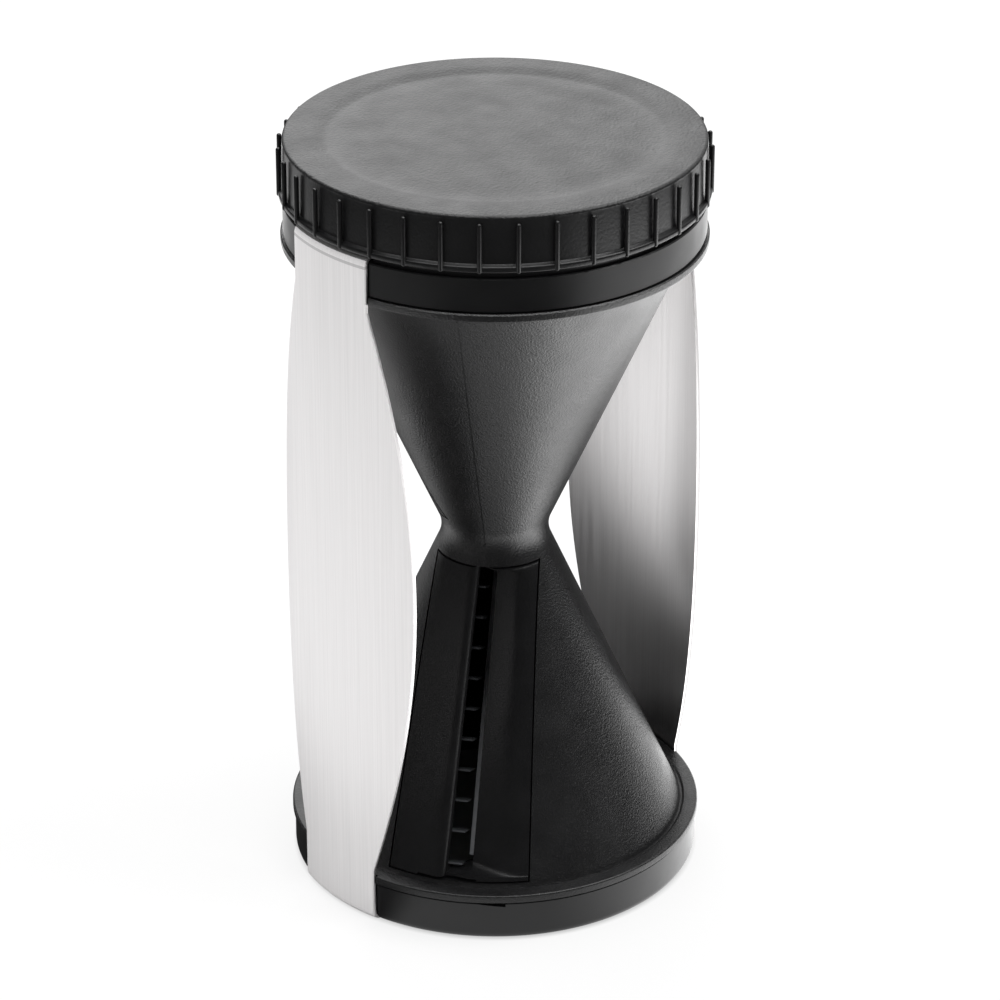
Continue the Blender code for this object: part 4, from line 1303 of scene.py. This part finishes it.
def paper_zones(tree, place, zones):
    """How strong the strongest of these zones is at each place of the paper, seen in a gloss."""
    heading = add_node(tree, "VectorMath", [place], operation="NORMALIZE")
    reach = add_node(tree, "VectorMath", [place], operation="LENGTH")
    values = []
    for azimuth, end, full, start, reached, fades, gone, strength in zones:
        value = towards(tree, heading, azimuth, 0, end, full, high=strength)
        for none, whole in ((start, reached), (gone, fades)):
            band = [reach, none * MM, whole * MM, 0.0, value]
            value = add_node(tree, "MapRange", band, interpolation_type="SMOOTHSTEP")
        values.append(value)
    glossy = add_node(tree, "LightPath").outputs["Is Glossy Ray"]
    return add_node(tree, "Math", [largest(tree, values), glossy], operation="MULTIPLY")


def paper_floor():
    """Seamless white paper, matt, that keeps a soft shadow under the object.

    Glossy surfaces alone see zones of it painted dark, as painted shade, far off on its dim side and also
    near the foot, and zones made to glow, as painted light.
    """
    material, tree, place = start_material("seamless_paper")
    paper = finishes().backdrop
    plain = add_node(tree, "BsdfDiffuse", {"Color": colour4(paper, PAPER_BOUNCE)})
    faint = add_node(tree, "BsdfDiffuse", {"Color": colour4(paper, PAPER_SHADING)})
    # Under the object the paper lies in its shade.
    reach = add_node(tree, "VectorMath", [place], operation="LENGTH")
    glow = add_node(tree, "MapRange", [reach, *PAPER_SHADE_EDGE, 0.0, PAPER_GLOW])
    # Zones that glow for glossy rays alone: painted light.
    lit = paper_zones(tree, place, LIT_PAPER)
    strength = add_node(tree, "Math", [glow, lit, glow], operation="MULTIPLY_ADD")
    white = add_node(tree, "Emission", {"Color": colour4(paper), "Strength": strength})
    shown = add_node(tree, "AddShader", [faint, white])
    # Zones painted dark for glossy rays alone: painted shade.
    nothing = add_node(tree, "Emission", {"Color": colour4(paper), "Strength": 0.0})
    ended = add_node(tree, "MixShader", [paper_zones(tree, place, DARK_PAPER), shown, nothing])
    diffuse = add_node(tree, "LightPath").outputs["Is Diffuse Ray"]
    mix = add_node(tree, "MixShader", [diffuse, ended, plain])
    add_node(tree, "OutputMaterial", {"Surface": mix})
    return material


def studio_world():
    """Plain soft surroundings, white where the camera sees them."""
    world = bpy.data.worlds.new("studio")
    bpy.context.scene.world = world
    world.use_nodes = True
    tree = world.node_tree
    tree.nodes.clear()
    direction = add_node(tree, "TexCoord").outputs["Generated"]
    lights = [towards(tree, direction, *light[:4], low=ROOM_DIM, high=light[4]) for light in ROOM_LIGHTS]
    path = add_node(tree, "LightPath").outputs
    glossy = add_node(tree, "Mix", [path["Is Glossy Ray"], ROOM_BOUNCE, largest(tree, lights)])
    strength = add_node(tree, "Mix", [path["Is Camera Ray"], glossy, 1.0])
    white = {"Color": colour4(finishes().backdrop), "Strength": strength}
    add_node(tree, "OutputWorld", {"Surface": add_node(tree, "Background", white)})


def softbox(name, azimuth, elevation, distance, size, energy):
    """A square area lamp that looks at the middle of the object, its angles in degrees."""
    azimuth, elevation = radians(azimuth), radians(elevation)
    flat = cos(elevation)
    direction = Vector((flat * cos(azimuth), flat * sin(azimuth), sin(elevation)))
    lamp = bpy.data.lights.new(name, "AREA")
    lamp.shape = "SQUARE"
    lamp.size = size
    lamp.energy = energy
    box = bpy.data.objects.new(name, lamp)
    bpy.context.scene.collection.objects.link(box)
    box.location = direction * distance + Vector((0, 0, CAMERA_AIM_HEIGHT))
    box.rotation_euler = direction.to_track_quat("Z", "Y").to_euler()


class SPIRALIZER_OT_stage(Operator):
    """Set up the floor, the soft lamps, the white surroundings and the camera"""

    bl_idname = "spiralizer.stage"
    bl_label = "Stage"

    def execute(self, context):
        scene = context.scene
        scene.view_settings.view_transform = "Standard"
        bpy.ops.object.select_all(action="DESELECT")
        bpy.ops.mesh.primitive_circle_add(vertices=96, radius=3.0, fill_type="NGON", location=(0, 0, 0))
        floor = context.object
        floor.name = "studio_floor"
        floor.data.materials.append(paper_floor())
        studio_world()
        for name, lamp in SOFTBOXES.items():
            softbox(name, *lamp)

        flat = CAMERA_DISTANCE * cos(CAMERA_ELEVATION)
        data = bpy.data.cameras.new("photo_camera")
        data.lens = CAMERA_LENS
        data.shift_x, data.shift_y = CAMERA_SHIFT
        camera = bpy.data.objects.new("photo_camera", data)
        scene.collection.objects.link(camera)
        camera.location = (
            flat * cos(CAMERA_AZIMUTH),
            flat * sin(CAMERA_AZIMUTH),
            CAMERA_AIM_HEIGHT + CAMERA_DISTANCE * sin(CAMERA_ELEVATION),
        )
        camera.rotation_euler = (pi / 2 - CAMERA_ELEVATION, 0.0, CAMERA_AZIMUTH + pi / 2)
        scene.camera = camera
        return {"FINISHED"}


class SPIRALIZER_PT_panel(Panel):
    """Lists the sizes, the finishes and the pieces"""

    bl_label = "Spiralizer"
    bl_idname = "SPIRALIZER_PT_panel"
    bl_space_type = "VIEW_3D"
    bl_region_type = "UI"
    bl_category = "Spiralizer"

    def draw(self, context):
        for group in (sizes(), finishes()):
            column = self.layout.column(align=True)
            for prop in group.bl_rna.properties:
                if prop.identifier in type(group).__annotations__:
                    column.prop(group, prop.identifier)
        column = self.layout.column(align=True)
        for piece in PIECES:
            column.operator(piece.bl_idname)


PIECES = (
    SPIRALIZER_OT_funnel_body,
    SPIRALIZER_OT_rim_rings,
    SPIRALIZER_OT_grip_strips,
    SPIRALIZER_OT_blade_carriers,
    SPIRALIZER_OT_blades,
    SPIRALIZER_OT_guard_cap,
    SPIRALIZER_OT_food_holder,
    SPIRALIZER_OT_spikes,
    SPIRALIZER_OT_stage,
)
CLASSES = (SpiralizerSizes, SpiralizerFinishes, *PIECES, SPIRALIZER_PT_panel)


def register():
    for cls in CLASSES:
        bpy.utils.register_class(cls)
    bpy.types.Scene.spiralizer_sizes = PointerProperty(type=SpiralizerSizes)
    bpy.types.Scene.spiralizer_finishes = PointerProperty(type=SpiralizerFinishes)


def unregister():
    del bpy.types.Scene.spiralizer_finishes
    del bpy.types.Scene.spiralizer_sizes
    for cls in reversed(CLASSES):
        bpy.utils.unregister_class(cls)


def main():
    """Model every piece in order."""
    register()
    bpy.ops.spiralizer.funnel_body()
    bpy.ops.spiralizer.rim_rings()
    bpy.ops.spiralizer.grip_strips()
    bpy.ops.spiralizer.blade_carriers()
    bpy.ops.spiralizer.blades()
    bpy.ops.spiralizer.guard_cap()
    bpy.ops.spiralizer.food_holder()
    bpy.ops.spiralizer.spikes()
    bpy.ops.spiralizer.stage()
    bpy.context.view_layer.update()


if __name__ == "__main__":
    main()
